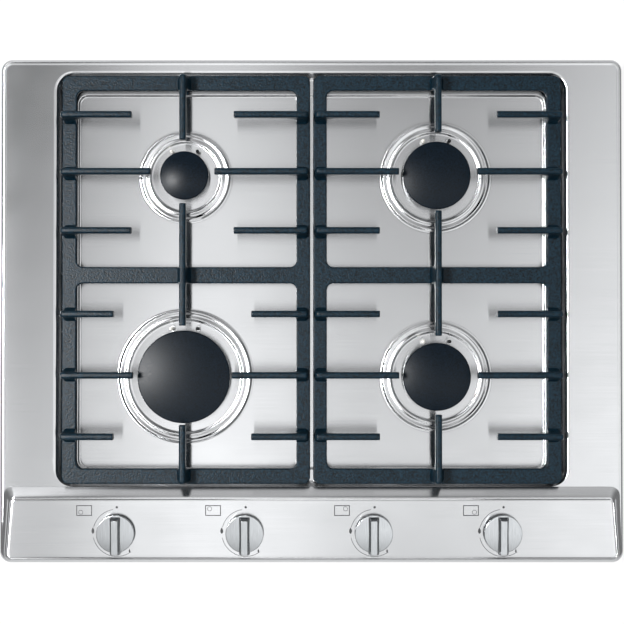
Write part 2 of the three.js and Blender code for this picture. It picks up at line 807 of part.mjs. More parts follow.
// The tap: a block on a plate under the panel, with the magnet of the flame guard and the
// outlet behind it, saddled on the gas rail.
function buildTap() {
  const bore = spindleRadius + boreClearance;
  const [w, d] = [tapWidth / 2, tapDepth / 2];
  const plateTop = -sheet - seatGap;
  const parts = [
    block(-w, w, -d, d, -tapFoot - railRadius, -tapTop),
    rod(bore + tapNeck, tapTop + plateTop + 1, 8, [0, 0, -tapTop - 1]),
    block(-w - tapEar, w + tapEar, -d, d, plateTop - tapPlate, plateTop),
    rod(magnetRadius, magnetLength + 1, 8, [0, d - 1, -magnetDrop], "y"),
    rod(outletRadius, outletLength + 1, 8, [0, d - 1, -outletDrop], "y"),
  ];
  const saddleZ = -tapFoot - seatGap - railRadius;
  const saddle = rod(railRadius + seatGap, 4 * w, 10, [-2 * w, 0, saddleZ], "x");
  return union(parts).subtract(rod(bore, boreEnd + 2, 10, [0, 0, -boreEnd])).subtract(saddle);
}

// ---- Gas line, box and fittings --------------------------------------------------------

// The gas rail: along the taps, round the front right corner and back to the connection.
function buildManifold() {
  const bendX = railRightX - railBend;
  const bend = new THREE.QuadraticBezierCurve3(
    new THREE.Vector3(bendX, gasY, gasZ),
    new THREE.Vector3(railRightX, gasY, gasZ),
    new THREE.Vector3(railRightX, gasY + railBend, gasZ),
  );
  const overlap = 0.5;
  const backY = gasY + railBend - overlap;
  return union([
    rod(railRadius, bendX - railLeftX + overlap, 10, [railLeftX, gasY, gasZ], "x"),
    bentTube(bend, railRadius, 10, 5),
    rod(railRadius, inletY - backY, 10, [railRightX, backY, gasZ], "y"),
  ]);
}

// The gas connection: a hexagon and a pipe thread's plain envelope, open at its end.
function buildInlet() {
  const start = inletY + seatGap;
  const parts = [
    rod(inletNut, inletNutLength, 6, [railRightX, start, gasZ], "y"),
    rod(inletRadius, inletLength, 12, [railRightX, start, gasZ], "y"),
  ];
  const bore = rod(inletBore, inletLength, 10, [railRightX, start + inletLength / 4, gasZ], "y");
  return union(parts).subtract(bore);
}

// The aluminium pipe from a tap's outlet to its burner's injector.
function buildFeed({ x, y, knobX }) {
  const outlet = onPanel(knobX, tapDepth / 2 + outletLength + seatGap, outletDrop);
  const from = new THREE.Vector3(...outlet);
  const to = new THREE.Vector3(x, y - throatRadius - injectorReach - seatGap, injectorZ);
  const lead = Math.min(40, (to.y - from.y) / 3);
  const curve = new THREE.CurvePath();
  const [a, b] = [from.clone(), to.clone()];
  b.y -= lead * 2;
  a.y = Math.max(a.y + lead / 2, b.y - 90);
  a.z = THREE.MathUtils.lerp(from.z, to.z, (a.y - from.y) / (to.y - from.y));
  curve.add(new THREE.LineCurve3(from, a));
  const middle = (a.y + to.y) / 2;
  curve.add(
    new THREE.CubicBezierCurve3(
      a,
      new THREE.Vector3(a.x, middle, a.z),
      new THREE.Vector3(to.x, middle, to.z),
      to,
    ),
  );
  return bentTube(curve, pipeRadius, 6, y > 0 ? 12 : 8);
}

// The bottom box: a folded tray with one corner set back, its wall tops cut to the top.
function buildBox() {
  const outline = (inset) => {
    const [x, y0, y1] = [boxX - inset, boxFrontY + inset, boxRearY - inset];
    const [nx, ny] = [notchX - inset, notchY - inset];
    const r = boxCorner - inset;
    const shape = new THREE.Shape();
    shape.moveTo(-x + r, y0).lineTo(x - r, y0).absarc(x - r, y0 + r, r, -Math.PI / 2, 0);
    shape.lineTo(x, ny).lineTo(nx, ny).lineTo(nx, y1);
    shape.lineTo(-x + r, y1).absarc(-x + r, y1 - r, r, Math.PI / 2, Math.PI);
    shape.lineTo(-x, y0 + r).absarc(-x + r, y0 + r, r, Math.PI, 1.5 * Math.PI);
    return shape;
  };
  const prism = (inset, z0, z1) => {
    const options = { depth: z1 - z0, bevelEnabled: false, curveSegments: 3 };
    return solid(new THREE.ExtrudeGeometry(outline(inset), options).translate(0, 0, z0));
  };
  const roof = panelZ(panelRearY) + 1;
  const folded = prism(0, 0, roof).subtract(prism(sheet, sheet, roof + 1));
  const clear = sheet + seatGap;
  let box = folded.intersect(topCavity(clear, -1)).subtract(wellForm(clear));
  const openings = [
    { radius: railRadius + 1, x: railRightX, y: notchY, z: gasZ },
    { radius: glandRadius + 0.5, x: moduleX, y: boxRearY, z: glandZ },
  ];
  for (const { radius, x, y, z } of openings) {
    box = box.subtract(rod(radius, 4 * sheet, 10, [x, y - 2.5 * sheet, z], "y"));
  }
  return box;
}

// The soft sealing strip between the border and the worktop.
function buildSeal() {
  const level = (z) => {
    const loop = (inset) => {
      const [x, y] = [halfWidth - inset, halfDepth - inset];
      return roundRect(-x, x, -y, y, topCorner - inset, z, 3);
    };
    return [loop(sealInset), loop(sealInset + sealWidth)];
  };
  return stack([level(builtInDepth), level(sealTopZ)]);
}

// The ignition module, with its row of spark outlets and a gland for the mains cord.
function buildModule() {
  const y1 = boxRearY - sheet - moduleGap;
  const body = block(
    moduleX - moduleWidth / 2,
    moduleX + moduleWidth / 2,
    y1 - moduleDepth,
    y1,
    moduleBase,
    moduleBase + moduleHeight,
  );
  const outlets = burners.map((_, i) => {
    const x = moduleX + ((i + 0.5) / burners.length - 0.5) * moduleWidth;
    return rod(sparkOutlet, 6, 6, [x, y1 - moduleDepth / 2, moduleBase + moduleHeight - 1]);
  });
  const glandLength = boxRearY + glandReach - y1 + 1;
  const gland = rod(glandRadius, glandLength, 10, [moduleX, y1 - 1, glandZ], "y");
  const bore = rod(cableBore, glandLength, 8, [moduleX, y1 + 1, glandZ], "y");
  return union([body, ...outlets, gland]).subtract(bore);
}

// A worktop clamp: an angle screwed to the foot of the box, its arm under the worktop.
function buildClamp(side, y) {
  const armZ = builtInDepth - worktop;
  const x = boxX + seatGap;
  const tip = x + clampReach;
  const [y0, y1] = [y - clampWidth / 2, y + clampWidth / 2];
  const strip = union([
    block(x, x + clampThick, y0, y1, sheet, armZ),
    block(x, tip, y0, y1, armZ - clampThick, armZ),
    block(tip - clampThick, tip, y0, y1, armZ - clampThick - clampLip, armZ),
    rod(screwRadius, clampThick + screwHead, 6, [x, y, (sheet + armZ) / 2], "x"),
  ]);
  return side > 0 ? strip : strip.mirror([1, 0, 0]);
}

// ---- Assembly ------------------------------------------------------------------------

const steel = { color: 0xc9cacb, roughness: 0.28, metalness: 1 };
const galvanised = { color: 0xa9adb0, roughness: 0.5, metalness: 1 };
const enamel = { color: 0x23272b, roughness: 0.42, metalness: 0 };
const castIron = { color: 0x2c3135, roughness: 0.45, metalness: 0.1 };
const aluminium = { color: 0xb9bbbd, roughness: 0.45, metalness: 1 };
const brass = { color: 0xc2a15a, roughness: 0.35, metalness: 1 };
const rubber = { color: 0x1b1b1c, roughness: 0.85, metalness: 0 };
const ceramic = { color: 0xf2f1ec, roughness: 0.35, metalness: 0 };
const probeSteel = { color: 0x4a4742, roughness: 0.4, metalness: 1 };
const moulded = { color: 0x3a3d42, roughness: 0.6, metalness: 0 };

const cooktop = new THREE.Group();
const place = (group, name, made, finish) => {
  const mesh = new THREE.Mesh(toGeometry(made), new THREE.MeshStandardMaterial(finish));
  mesh.name = name;
  group.add(mesh);
};

place(cooktop, "hob_tray", buildTop(), steel);
place(cooktop, "base_box", buildBox(), galvanised);
place(cooktop, "rim_seal", buildSeal(), rubber);
place(cooktop, "gas_manifold", buildManifold(), galvanised);
place(cooktop, "gas_inlet", buildInlet(), brass);
place(cooktop, "ignition_module", buildModule(), moulded);

for (const burner of burners) {
  const tag = burner.name;
  place(cooktop, `burner_cap_${tag}`, buildCap(burner), enamel);
  place(cooktop, `burner_head_${tag}`, buildHead(burner), aluminium);
  place(cooktop, `burner_cup_${tag}`, buildCup(burner), aluminium);
  place(cooktop, `spark_plug_${tag}`, buildSpark(burner.sensors[0]), ceramic);
  place(cooktop, `flame_sensor_${tag}`, buildProbe(burner.sensors[1]), probeSteel);
  place(cooktop, `feed_pipe_${tag}`, buildFeed(burner), aluminium);

  const station = new THREE.Group();
  station.position.set(burner.knobX, knobY, panelZ(knobY));
  station.rotation.x = panelTilt;
  place(station, `knob_${tag}`, buildKnob(), steel);
  place(station, `spindle_${tag}`, buildSpindle(), steel);
  place(station, `plunger_${tag}`, buildPlunger(), brass);
  place(station, `gas_tap_${tag}`, buildTap(), brass);
  cooktop.add(station);
}

for (const [side, word] of [[-1, "left"], [1, "right"]]) {
  place(cooktop, `pan_support_${word}`, buildSupport(side), castIron);
  footPlaces(side).forEach((spot, i) => {
    place(cooktop, `support_foot_${word}_${i + 1}`, buildFoot(spot), rubber);
  });
  [-clampY, clampY].forEach((y, i) => {
    place(cooktop, `worktop_clamp_${word}_${i + 1}`, buildClamp(side, y), galvanised);
  });
}

export default cooktop;
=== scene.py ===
"""Looks of a built-in gas cooktop: pressed steel top, cast pan supports, burners, knobs and fittings.

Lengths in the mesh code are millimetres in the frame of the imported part, and become metres
when a mesh is made. +X is right, +Y is towards the wall, +Z is up.
"""

import math

import bmesh
import bpy
from mathutils import Matrix, Vector


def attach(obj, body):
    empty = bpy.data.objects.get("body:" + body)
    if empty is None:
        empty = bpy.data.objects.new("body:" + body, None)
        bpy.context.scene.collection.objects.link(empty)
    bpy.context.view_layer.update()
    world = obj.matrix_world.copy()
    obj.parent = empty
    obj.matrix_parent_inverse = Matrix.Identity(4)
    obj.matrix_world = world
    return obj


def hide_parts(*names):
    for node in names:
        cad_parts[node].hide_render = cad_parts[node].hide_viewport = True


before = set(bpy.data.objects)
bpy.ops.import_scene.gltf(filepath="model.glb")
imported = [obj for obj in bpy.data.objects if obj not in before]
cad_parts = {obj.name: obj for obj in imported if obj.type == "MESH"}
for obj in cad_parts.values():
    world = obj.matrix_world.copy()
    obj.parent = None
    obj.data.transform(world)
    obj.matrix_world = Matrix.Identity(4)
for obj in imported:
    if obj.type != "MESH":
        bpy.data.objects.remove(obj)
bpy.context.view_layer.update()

bl_info = {
    "name": "Gas cooktop",
    "version": (1, 0, 0),
    "blender": (4, 5, 0),
    "location": "3D View > Sidebar > Cooktop",
    "description": "Builds the visible pieces of a built-in gas cooktop over its packed frame",
    "category": "Object",
}

BURNERS = {
    "front_left": {"x": -132.2, "y": -69.0, "cap": 48.0, "tips": 50.8, "ports": 40},
    "rear_left": {"x": -132.2, "y": 139.9, "cap": 25.2, "tips": 32.7, "ports": 20},
    "rear_right": {"x": 129.8, "y": 139.9, "cap": 35.2, "tips": 40.3, "ports": 28},
    "front_right": {"x": 129.8, "y": -69.0, "cap": 35.2, "tips": 40.3, "ports": 28},
}
KNOB_X = {"front_left": -202.9, "rear_left": -69.3, "rear_right": 64.3, "front_right": 197.9}
KNOB_Y = -230.9

HALF_WIDTH = 325.0
HALF_DEPTH = 262.5
RIM_Z = 58.0  # flat border of the top
EDGE_Z = 52.3  # lower edge of its turned-down rim
EDGE_TURN = 3.8  # depth over which the rim rounds down
SHEET = 1.0
LEDGE_Z = 51.5
FLOOR_Z = 49.5
DISH_Z = 50.3
WELL_X = 265.5
WELL_REAR = 247.0
RAMP_FOOT = -183.5
PANEL_REAR = -196.5
PANEL_FRONT = -257.7
PANEL_RISE = 6.4
PANEL_TILT = math.atan(3.5 / (PANEL_REAR - PANEL_FRONT))

RAIL_BASE = 55.3
RAIL_TOP = 65.3
FINGER_TOP = 89.3
SUPPORT_X = 259.2
SUPPORT_REAR = 244.1
SUPPORT_FRONT = -180.0
SUPPORT_SPLIT = 3.2
SIDE_RAIL = 15.0
SPLIT_RAIL = 14.2  # beside the split
REAR_RAIL = 15.5
MIDDLE_RAIL = 17.0
FRONT_RAIL = 16.0
MIDDLE_Y = 36.4
ROW_SHIFT = 2.1  # middle finger rows behind the burners' middles
FRONT_ROWS = (-62.7, 0.0, 62.7)
REAR_ROWS = (-60.6, 0.0, 58.4)
OUTER_TIPS = 19.7  # how much further out the tips of the outer rows stop

CAP_Z = 65.7
HEAD_TOP = 65.4
HEAD_BASE = 56.8
HEAD_INSET = 1.6  # burner head's edge inside the cap's
HEAD_WALL = 4.2
PORT_DEPTH = 3.0
PORT_SLOT = 1.6
FLANGE_Z = 49.0
INJECTOR_Z = 24.0

KNOB_RADIUS = 19.6
DISC_LOW = 3.5
DISC_HIGH = 7.3
GRIP_RISE = 6.2  # grip's top above the disc

ARC_RADIUS = 24.6  # printed arc round a knob
ARC_SHIFT = 0.8
PLAN = (-40.5, -25.1, 18.3, 28.5)  # printed burner plan: left, right, low, high
PRINT_THICK = 0.06

FLOOR_REACH = 9e3
FLOOR_GLOW = 0.86  # share of the floor that shows as plain white; the rest takes the shadow


def panel_z(y):
    return RIM_Z + PANEL_RISE - (PANEL_REAR - y) * math.tan(PANEL_TILT)


# ---- Meshes ---------------------------------------------------------------------------


def hex_color(code):
    """An sRGB hex colour as linear red, green, blue and alpha."""
    parts = [int(code[i : i + 2], 16) / 255 for i in (1, 3, 5)]
    linear = [c / 12.92 if c <= 0.04045 else ((c + 0.055) / 1.055) ** 2.4 for c in parts]
    return (*linear, 1.0)


def lerp(a, b, t):
    return a + (b - a) * t


def mesh_from(name, points, faces):
    """A mesh from points in millimetres, with its normals turned outwards."""
    mesh = bpy.data.meshes.new(name)
    mesh.from_pydata([Vector(p) / 1000 for p in points], [], faces)
    made = bmesh.new()
    made.from_mesh(mesh)
    bmesh.ops.recalc_face_normals(made, faces=made.faces)
    made.to_mesh(mesh)
    made.free()
    return mesh


def round_rect(x0, x1, y0, y1, radius, z, steps=10):
    """A rectangle with round corners, anticlockwise. z may be a number or a function of y."""
    r = max(0.2, radius)
    height = z if callable(z) else (lambda y: z)
    points = []
    for cx, cy, start in (
        (x1[0] - r, y0 + r, -90),
        (x1[1] - r, y1 - r, 0),
        (x0[1] + r, y1 - r, 90),
        (x0[0] + r, y0 + r, 180),
    ):
        for i in range(steps + 1):
            a = math.radians(start + 90 * i / steps)
            x, y = cx + r * math.cos(a), cy + r * math.sin(a)
            points.append((x, y, height(y)))
    return points


def stacked(name, rings):
    """A closed solid through like-numbered rings of points, the lowest first."""
    count = len(rings[0])
    points = [p for ring in rings for p in ring]
    faces = []
    for level in range(len(rings) - 1):
        for i in range(count):
            a, b = level * count + i, level * count + (i + 1) % count
            faces.append((a, b, b + count, a + count))
    faces.append(tuple(reversed(range(count))))
    faces.append(tuple(range(len(points) - count, len(points))))
    return mesh_from(name, points, faces)


def turned(name, profile, segments, x=0.0, y=0.0):
    """A solid of revolution from [radius, height] points, closed on its axis or as a ring."""
    on_axis = profile[0][0] == 0
    points, rows = [], []
    for r, z in profile:
        if r == 0:
            rows.append([len(points)] * segments)
            points.append((x, y, z))
            continue
        rows.append(list(range(len(points), len(points) + segments)))
        for i in range(segments):
            a = 2 * math.pi * i / segments
            points.append((x + r * math.cos(a), y + r * math.sin(a), z))
    pairs = list(zip(rows, rows[1:]))
    if not on_axis:
        pairs.append((rows[-1], rows[0]))
    faces = []
    for low, high in pairs:
        for i in range(segments):
            j = (i + 1) % segments
            corners = dict.fromkeys((low[i], low[j], high[j], high[i]))
            faces.append(tuple(corners))
    return mesh_from(name, points, faces)


def rod(name, radius, start, end, segments=24):
    """A cylinder between two points."""
    axis = Vector(end) - Vector(start)
    turn = axis.to_track_quat("Z", "Y").to_matrix()
    points = []
    for z in (0, axis.length):
        for i in range(segments):
            a = 2 * math.pi * i / segments
            spoke = Vector((radius * math.cos(a), radius * math.sin(a), z))
            points.append(Vector(start) + turn @ spoke)
    faces = [(i, (i + 1) % segments, (i + 1) % segments + segments, i + segments) for i in range(segments)]
    faces.append(tuple(reversed(range(segments))))
    faces.append(tuple(range(segments, 2 * segments)))
    return mesh_from(name, points, faces)


def link_piece(name, mesh):
    piece = bpy.data.objects.new(name, mesh)
    bpy.context.scene.collection.objects.link(piece)
    return piece


def settle(piece):
    """Turns what a piece's modifiers make into its plain mesh."""
    graph = bpy.context.evaluated_depsgraph_get()
    mesh = bpy.data.meshes.new_from_object(piece.evaluated_get(graph))
    piece.modifiers.clear()
    piece.data = mesh
    return piece


def combine(piece, tool_mesh, operation):
    """Adds, cuts or intersects a piece with another solid."""
    tool = link_piece("tool", tool_mesh)
    modifier = piece.modifiers.new("combine", "BOOLEAN")
    modifier.operation = operation
    modifier.solver = "EXACT"
    modifier.object = tool
    settle(piece)
    bpy.data.objects.remove(tool)
    return piece


def joined(name, meshes):
    """One mesh that holds several."""
    made = bmesh.new()
    for mesh in meshes:
        made.from_mesh(mesh)
    mesh = bpy.data.meshes.new(name)
    made.to_mesh(mesh)
    made.free()
    return mesh


def shade(piece, angle):
    """Smooth faces up to an angle in degrees, with flat faces kept flat by their weight."""
    piece.data.polygons.foreach_set("use_smooth", [True] * len(piece.data.polygons))
    piece.data.set_sharp_from_angle(angle=math.radians(angle))
    weighted = piece.modifiers.new("weighted", "WEIGHTED_NORMAL")
    weighted.keep_sharp = True
    weighted.weight = 70
    return settle(piece)


def add_grain_map(mesh, across):
    """A UV map whose U runs across the brushing lines, which lie along X or along Y."""
    layer = mesh.uv_layers.new(name="Grain")
    for loop in mesh.loops:
        x, y, z = mesh.vertices[loop.vertex_index].co
        u, v = (y, x) if across == "Y" else (x, y)
        layer.data[loop.index].uv = (u + 0.4 * z, v + 0.3 * z)


def dress(piece, material, body, nodes=(), smooth=35, grain=None):
    """Shades a piece, gives it its material, and lets it ride on its body for its CAD nodes."""
    shade(piece, smooth)
    if grain:
        add_grain_map(piece.data, grain)
    piece.data.materials.clear()
    piece.data.materials.append(material)
    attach(piece, body)
    if nodes:
        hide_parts(*nodes)
    return piece


# ---- Materials ------------------------------------------------------------------------


def add(tree, kind, inputs=None, **settings):
    """Adds a node with its settings, and sets or links its inputs."""
    made = tree.nodes.new(kind)
    for name, value in settings.items():
        setattr(made, name, value)
    for name, value in (inputs or {}).items():
        if isinstance(value, bpy.types.NodeSocket):
            tree.links.new(value, made.inputs[name])
        else:
            made.inputs[name].default_value = value
    return made


def new_material(name, **values):
    """A material with its principled shader set to plain values."""
    material = bpy.data.materials.new(name)
    material.use_nodes = True
    shader = material.node_tree.nodes["Principled BSDF"]
    for socket, value in values.items():
        shader.inputs[socket.replace("_", " ")].default_value = value
    return material, material.node_tree, shader


def stretched_noise(tree, lengths, detail=3.0):
    """Noise whose features have the given size in millimetres along X, Y and Z."""
    place = add(tree, "ShaderNodeTexCoord")
    scale = tuple(1000 / length for length in lengths)
    mapping = add(tree, "ShaderNodeMapping", {"Vector": place.outputs["Object"], "Scale": scale})
    inputs = {"Vector": mapping.outputs[0], "Scale": 1.0, "Detail": detail}
    return add(tree, "ShaderNodeTexNoise", inputs).outputs["Fac"]


def bump(tree, shader, height, depth_mm, strength=1.0):
    inputs = {"Height": height, "Distance": depth_mm / 1000, "Strength": strength}
    made = add(tree, "ShaderNodeBump", inputs)
    tree.links.new(made.outputs[0], shader.inputs["Normal"])


def vary(tree, factor, low, high):
    """A value that goes from low to high with a factor."""
    inputs = {"Value": factor, "From Min": 0.3, "From Max": 0.7, "To Min": low, "To Max": high}
    return add(tree, "ShaderNodeMapRange", inputs).outputs[0]


def vary_color(tree, factor, low, high):
    inputs = {"Factor": factor, 6: hex_color(low), 7: hex_color(high)}
    return add(tree, "ShaderNodeMix", inputs, data_type="RGBA").outputs[2]


def brushed_stainless(name, along, settings):
    """Stainless sheet, brushed: bright, with reflections drawn out across the lines."""
    material, tree, shader = new_material(name, Metallic=1.0, Anisotropic=1.0)
    tangent = add(tree, "ShaderNodeTangent", direction_type="UV_MAP", uv_map="Grain")
    tree.links.new(tangent.outputs[0], shader.inputs["Tangent"])
    # Real brushing lines are 0.05 mm wide. They are drawn 0.5 mm wide so that they show.
    lines = (90, 0.5, 0.5) if along == "X" else (0.5, 40, 0.5)
    fine = stretched_noise(tree, lengths=lines, detail=2.0)
    clouds = stretched_noise(tree, lengths=(70, 45, 45))
    low, high = settings.steel_dark, settings.steel_light
    tree.links.new(vary_color(tree, fine, low, high), shader.inputs["Base Color"])
    rough = settings.steel_roughness
    tree.links.new(vary(tree, clouds, rough - 0.015, rough + 0.015), shader.inputs["Roughness"])
    bump(tree, shader, fine, depth_mm=0.002)
    return material


def enamel(name, dark, light, gloss, roughness, grain_mm, depth_mm):
    """Vitreous enamel, sprayed and fired: blue-black, satin, with a faintly pebbled skin."""
    material, tree, shader = new_material(name, Specular_IOR_Level=gloss)
    # Sprayed enamel usually has specks under a millimetre wide. These are wider, to show.
    pebbles = stretched_noise(tree, lengths=(grain_mm,) * 3, detail=2.0)
    specks = vary(tree, pebbles, 0.0, 1.0)
    tree.links.new(vary_color(tree, specks, dark, light), shader.inputs["Base Color"])
    tree.links.new(vary(tree, pebbles, roughness - 0.04, roughness + 0.04), shader.inputs["Roughness"])
    bump(tree, shader, pebbles, depth_mm=depth_mm)
    return material


def bare_metal(name, dark, light, roughness, grain, depth_mm):
    """Metal as cast, drawn or machined: its grain size and depth tell which."""
    material, tree, shader = new_material(name, Metallic=1.0)
    skin = stretched_noise(tree, lengths=grain)
    tree.links.new(vary_color(tree, skin, dark, light), shader.inputs["Base Color"])
    tree.links.new(vary(tree, skin, roughness - 0.05, roughness + 0.05), shader.inputs["Roughness"])
    bump(tree, shader, skin, depth_mm=depth_mm)
    return material


def galvanised():
    """Hot-dip galvanised sheet: dull zinc with crystals about 8 mm wide that differ in tone."""
    material, tree, shader = new_material("galvanised_sheet", Metallic=1.0)
    place = add(tree, "ShaderNodeTexCoord")
    inputs = {"Vector": place.outputs["Object"], "Scale": 1000 / 8}
    crystals = add(tree, "ShaderNodeTexVoronoi", inputs)
    tone = add(tree, "ShaderNodeSeparateColor", {"Color": crystals.outputs["Color"]}).outputs[0]
    tree.links.new(vary_color(tree, tone, "#9AA0A4", "#B4B9BC"), shader.inputs["Base Color"])
    tree.links.new(vary(tree, tone, 0.42, 0.58), shader.inputs["Roughness"])
    return material


def moulded(name, dark, light, roughness, grain_mm=0.6, depth_mm=0.02):
    """Rubber, plastic or ceramic: non-metal, its skin set by the mould's grain."""
    material, tree, shader = new_material(name)
    skin = stretched_noise(tree, lengths=(grain_mm,) * 3)
    tree.links.new(vary_color(tree, skin, dark, light), shader.inputs["Base Color"])
    tree.links.new(vary(tree, skin, roughness - 0.05, roughness + 0.05), shader.inputs["Roughness"])
    bump(tree, shader, skin, depth_mm=depth_mm)
    return material


def material(name):
    """A finished material by name, made when it is first asked for."""
    found = bpy.data.materials.get(name)
    if found:
        return found
    top, dark = bpy.context.scene.cooktop_top, bpy.context.scene.cooktop_castings
    makers = {
        "brushed_stainless": lambda: brushed_stainless(name, "X", top),
        "brushed_knob_steel": lambda: brushed_stainless(name, "Y", bpy.context.scene.cooktop_knobs),
        "cap_enamel": lambda: enamel(name, dark.cap_dark, dark.cap_light, 0.15, 0.34, 1.4, 0.03),
        "enamelled_cast_iron": lambda: enamel(name, dark.iron_dark, dark.iron_light, 0.18, 0.36, 1.7, 0.3),
        "cast_aluminium": lambda: bare_metal(name, "#8D8F90", "#B5B7B8", 0.5, (0.8, 0.8, 0.8), 0.03),
        "drawn_aluminium": lambda: bare_metal(name, "#B4B6B8", "#C8CACC", 0.36, (4, 20, 4), 0.005),
        "turned_steel": lambda: bare_metal(name, "#9B9DA0", "#B5B8BA", 0.33, (3, 3, 0.4), 0.006),
        "scaled_steel": lambda: bare_metal(name, "#232425", "#3A3B3D", 0.4, (0.7, 0.7, 2), 0.01),
        "machined_brass": lambda: bare_metal(name, "#B0904E", "#C9AB66", 0.3, (3, 0.5, 3), 0.006),
        "forged_brass": lambda: bare_metal(name, "#8F7842", "#B59A5B", 0.45, (0.9, 0.9, 0.9), 0.03),
        "galvanised_sheet": galvanised,
        "foam_rubber": lambda: moulded(name, "#202123", "#2D2E30", 0.85, 0.8, 0.08),
        "silicone_rubber": lambda: moulded(name, "#1B1C1E", "#27282A", 0.6),
        "glazed_ceramic": lambda: moulded(name, "#E6E4DC", "#F2F1EB", 0.25, 2.0, 0.005),
        "moulded_pbt": lambda: moulded(name, "#2A2C2F", "#36383B", 0.55),
        "fired_print": lambda: moulded(name, "#26282A", "#343638", 0.5),
    }
    return makers[name]()


# ---- Pressed top ----------------------------------------------------------------------


def border_mesh(offset, bottom, settings):
    """The flat border with its rolled edge, drawn inwards by the sheet's thickness or not."""

    def ring(inset, z):
        x, y = HALF_WIDTH - inset - offset, HALF_DEPTH - inset - offset
        return round_rect((-x, -x), (x, x), -y, y, 12 - inset - offset, z)

    roll, bead = settings.edge_roll, settings.edge_bead
    rings = [ring(0, bottom)]
    for i in range(9):
        a = math.radians(90 * i / 8)
        z = lerp(RIM_Z - EDGE_TURN, RIM_Z + bead, math.sin(a)) - offset
        rings.append(ring(0.6 * roll * (1 - math.cos(a)), z))
    for part, lift in ((0.72, 0.85), (0.82, 0.45), (0.92, 0.1), (1.0, 0.0)):
        rings.append(ring(part * roll, RIM_Z + lift * bead - offset))
    return stacked("border", rings)


# Rings of the console from its outer edge to the flat panel: inset at the sides (front and
# rear end), at the front and on the ramp, share of the panel's rise, and bead in millimetres.
CONSOLE_RINGS = (
    ((0.5, 0.9), 0.4, 0.0, -0.62, 0.0),
    ((1.4, 2.6), 0.9, 0.0, -0.2, 0.0),
    ((2.6, 4.6), 1.5, 0.0, 0.08, 0.0),
    ((3.8, 6.4), 2.1, 2.0, 0.3, 0.0),
    ((5.0, 8.4), 2.7, 4.6, 0.52, 0.0),
    ((6.0, 10.0), 3.2, 7.2, 0.76, 0.0),
    ((6.9, 11.2), 3.8, 9.4, 0.94, 0.1),
    ((7.7, 12.2), 4.3, 11.0, 1.0, 0.22),
    ((8.2, 12.8), 4.8, 12.2, 1.0, 0.02),
    ((8.6, 13.2), 5.2, 13.0, 1.0, -0.28),
    ((9.1, 13.7), 5.7, 13.7, 1.0, -0.1),
    ((9.9, 14.5), 6.5, 15.0, 1.0, 0.0),
    ((12.0, 16.6), 8.6, 18.0, 1.0, 0.0),
)


def console_mesh(offset, bottom):
    """The raised control console, with its ramp to the rear and a crease round its panel."""

    def ring(sides, front, ramp, z):
        x = [HALF_WIDTH - inset - offset for inset in sides]
        y0, y1 = -HALF_DEPTH + front + offset, RAMP_FOOT - ramp - offset
        return round_rect((-x[0], -x[1]), x, y0, y1, max(12 - 1.5 * front - offset, 3), z)

    rings = [ring((0, 0), 0, 0, bottom), ring((0, 0), 0, 0, RIM_Z - EDGE_TURN - offset)]
    for sides, front, ramp, share, bead in CONSOLE_RINGS:

        def height(y, share=share, bead=bead):
            fall = EDGE_TURN if share < 0 else panel_z(y) - RIM_Z
            return RIM_Z + share * fall + bead - offset

        rings.append(ring(sides, front, ramp, height))
    return stacked("console", rings)


def well_mesh(offset, settings):
    """The well as a solid to cut away: floor, step, ledge, wall and rolled lip."""

    def ring(inset, z, front=None, corner=None):
        x = WELL_X - inset + offset
        y0 = RAMP_FOOT + (inset if front is None else front) - offset
        y1 = WELL_REAR - inset + offset
        radius = (17 - inset if corner is None else corner) + offset
        return round_rect((-x, -x), (x, x), y0, y1, radius, z - offset if z < RIM_Z - 3 else z)

    ledge, front, radius = 20.8, 17.5, 10.0
    step = ((2.6, 2.0), (1.9, 1.95), (1.2, 1.6), (0.7, 1.0), (0.3, 0.4), (-0.2, 0.08), (-0.8, 0.0))
    rings = [ring(ledge + run, LEDGE_Z - drop, front + run, radius - run) for run, drop in step]
    foot = ((6.4, 0), (4.9, 0.12), (3.7, 0.7), (2.9, 1.7))
    rings += [ring(inset, LEDGE_Z + lift) for inset, lift in foot]
    roll = settings.well_roll
    rings += [ring(0.5, RIM_Z - 2.3), ring(0.1, RIM_Z - 1.6)]
    for part, drop in ((0.12, 1.0), (0.3, 0.52), (0.55, 0.2), (0.8, 0.05), (1.0, 0.0)):
        rings.append(ring(-part * roll, RIM_Z - drop, -0.05 * part))
    rings.append(ring(-1.25 * roll, RIM_Z + 0.3, -0.1))
    rings.append(ring(-1.25 * roll, RIM_Z + 14, -0.12))
    return stacked("well", rings)


def pressing_mesh(burner, settings):
    """The dish and double bead round a burner, a ring of sheet."""
    cap, high = burner["cap"], settings.bead_height
    hole = cap - 6.0
    beads = (
        (24.2, 0.0), (23.0, 0.0), (22.2, 0.05), (21.5, 0.22), (20.8, 0.55), (20.1, 0.8), (19.4, 0.88),
        (18.6, 0.8), (17.8, 0.66), (16.9, 0.56), (16.1, 0.54), (15.3, 0.6), (14.5, 0.78), (13.7, 0.93),
        (13.0, 1.0), (12.3, 0.96), (11.6, 0.8), (10.9, 0.55), (10.3, 0.4), (9.6, 0.352), (8.4, 0.348),
    )
    top = [(cap + out, FLOOR_Z + share * high) for out, share in beads]
    top += [(cap + 2, DISH_Z), (hole + 1.2, DISH_Z), (hole + 0.3, DISH_Z - 0.2), (hole, DISH_Z - 0.5)]
    under = [(hole, DISH_Z - SHEET), (cap + 9, DISH_Z - SHEET), (cap + 24.2, FLOOR_Z - SHEET)]
    return turned("pressing", top + under, 96, burner["x"], burner["y"])


def sensor_places(burner):
    """Spark plug and flame sensor, just outside the cap's edge on the side of the wall."""
    reach = burner["cap"] + 3.7
    angle = math.asin(min(0.5, 13.5 / reach))
    return [
        (burner["x"] + reach * math.sin(a), burner["y"] + reach * math.cos(a)) for a in (-angle, angle)
    ]


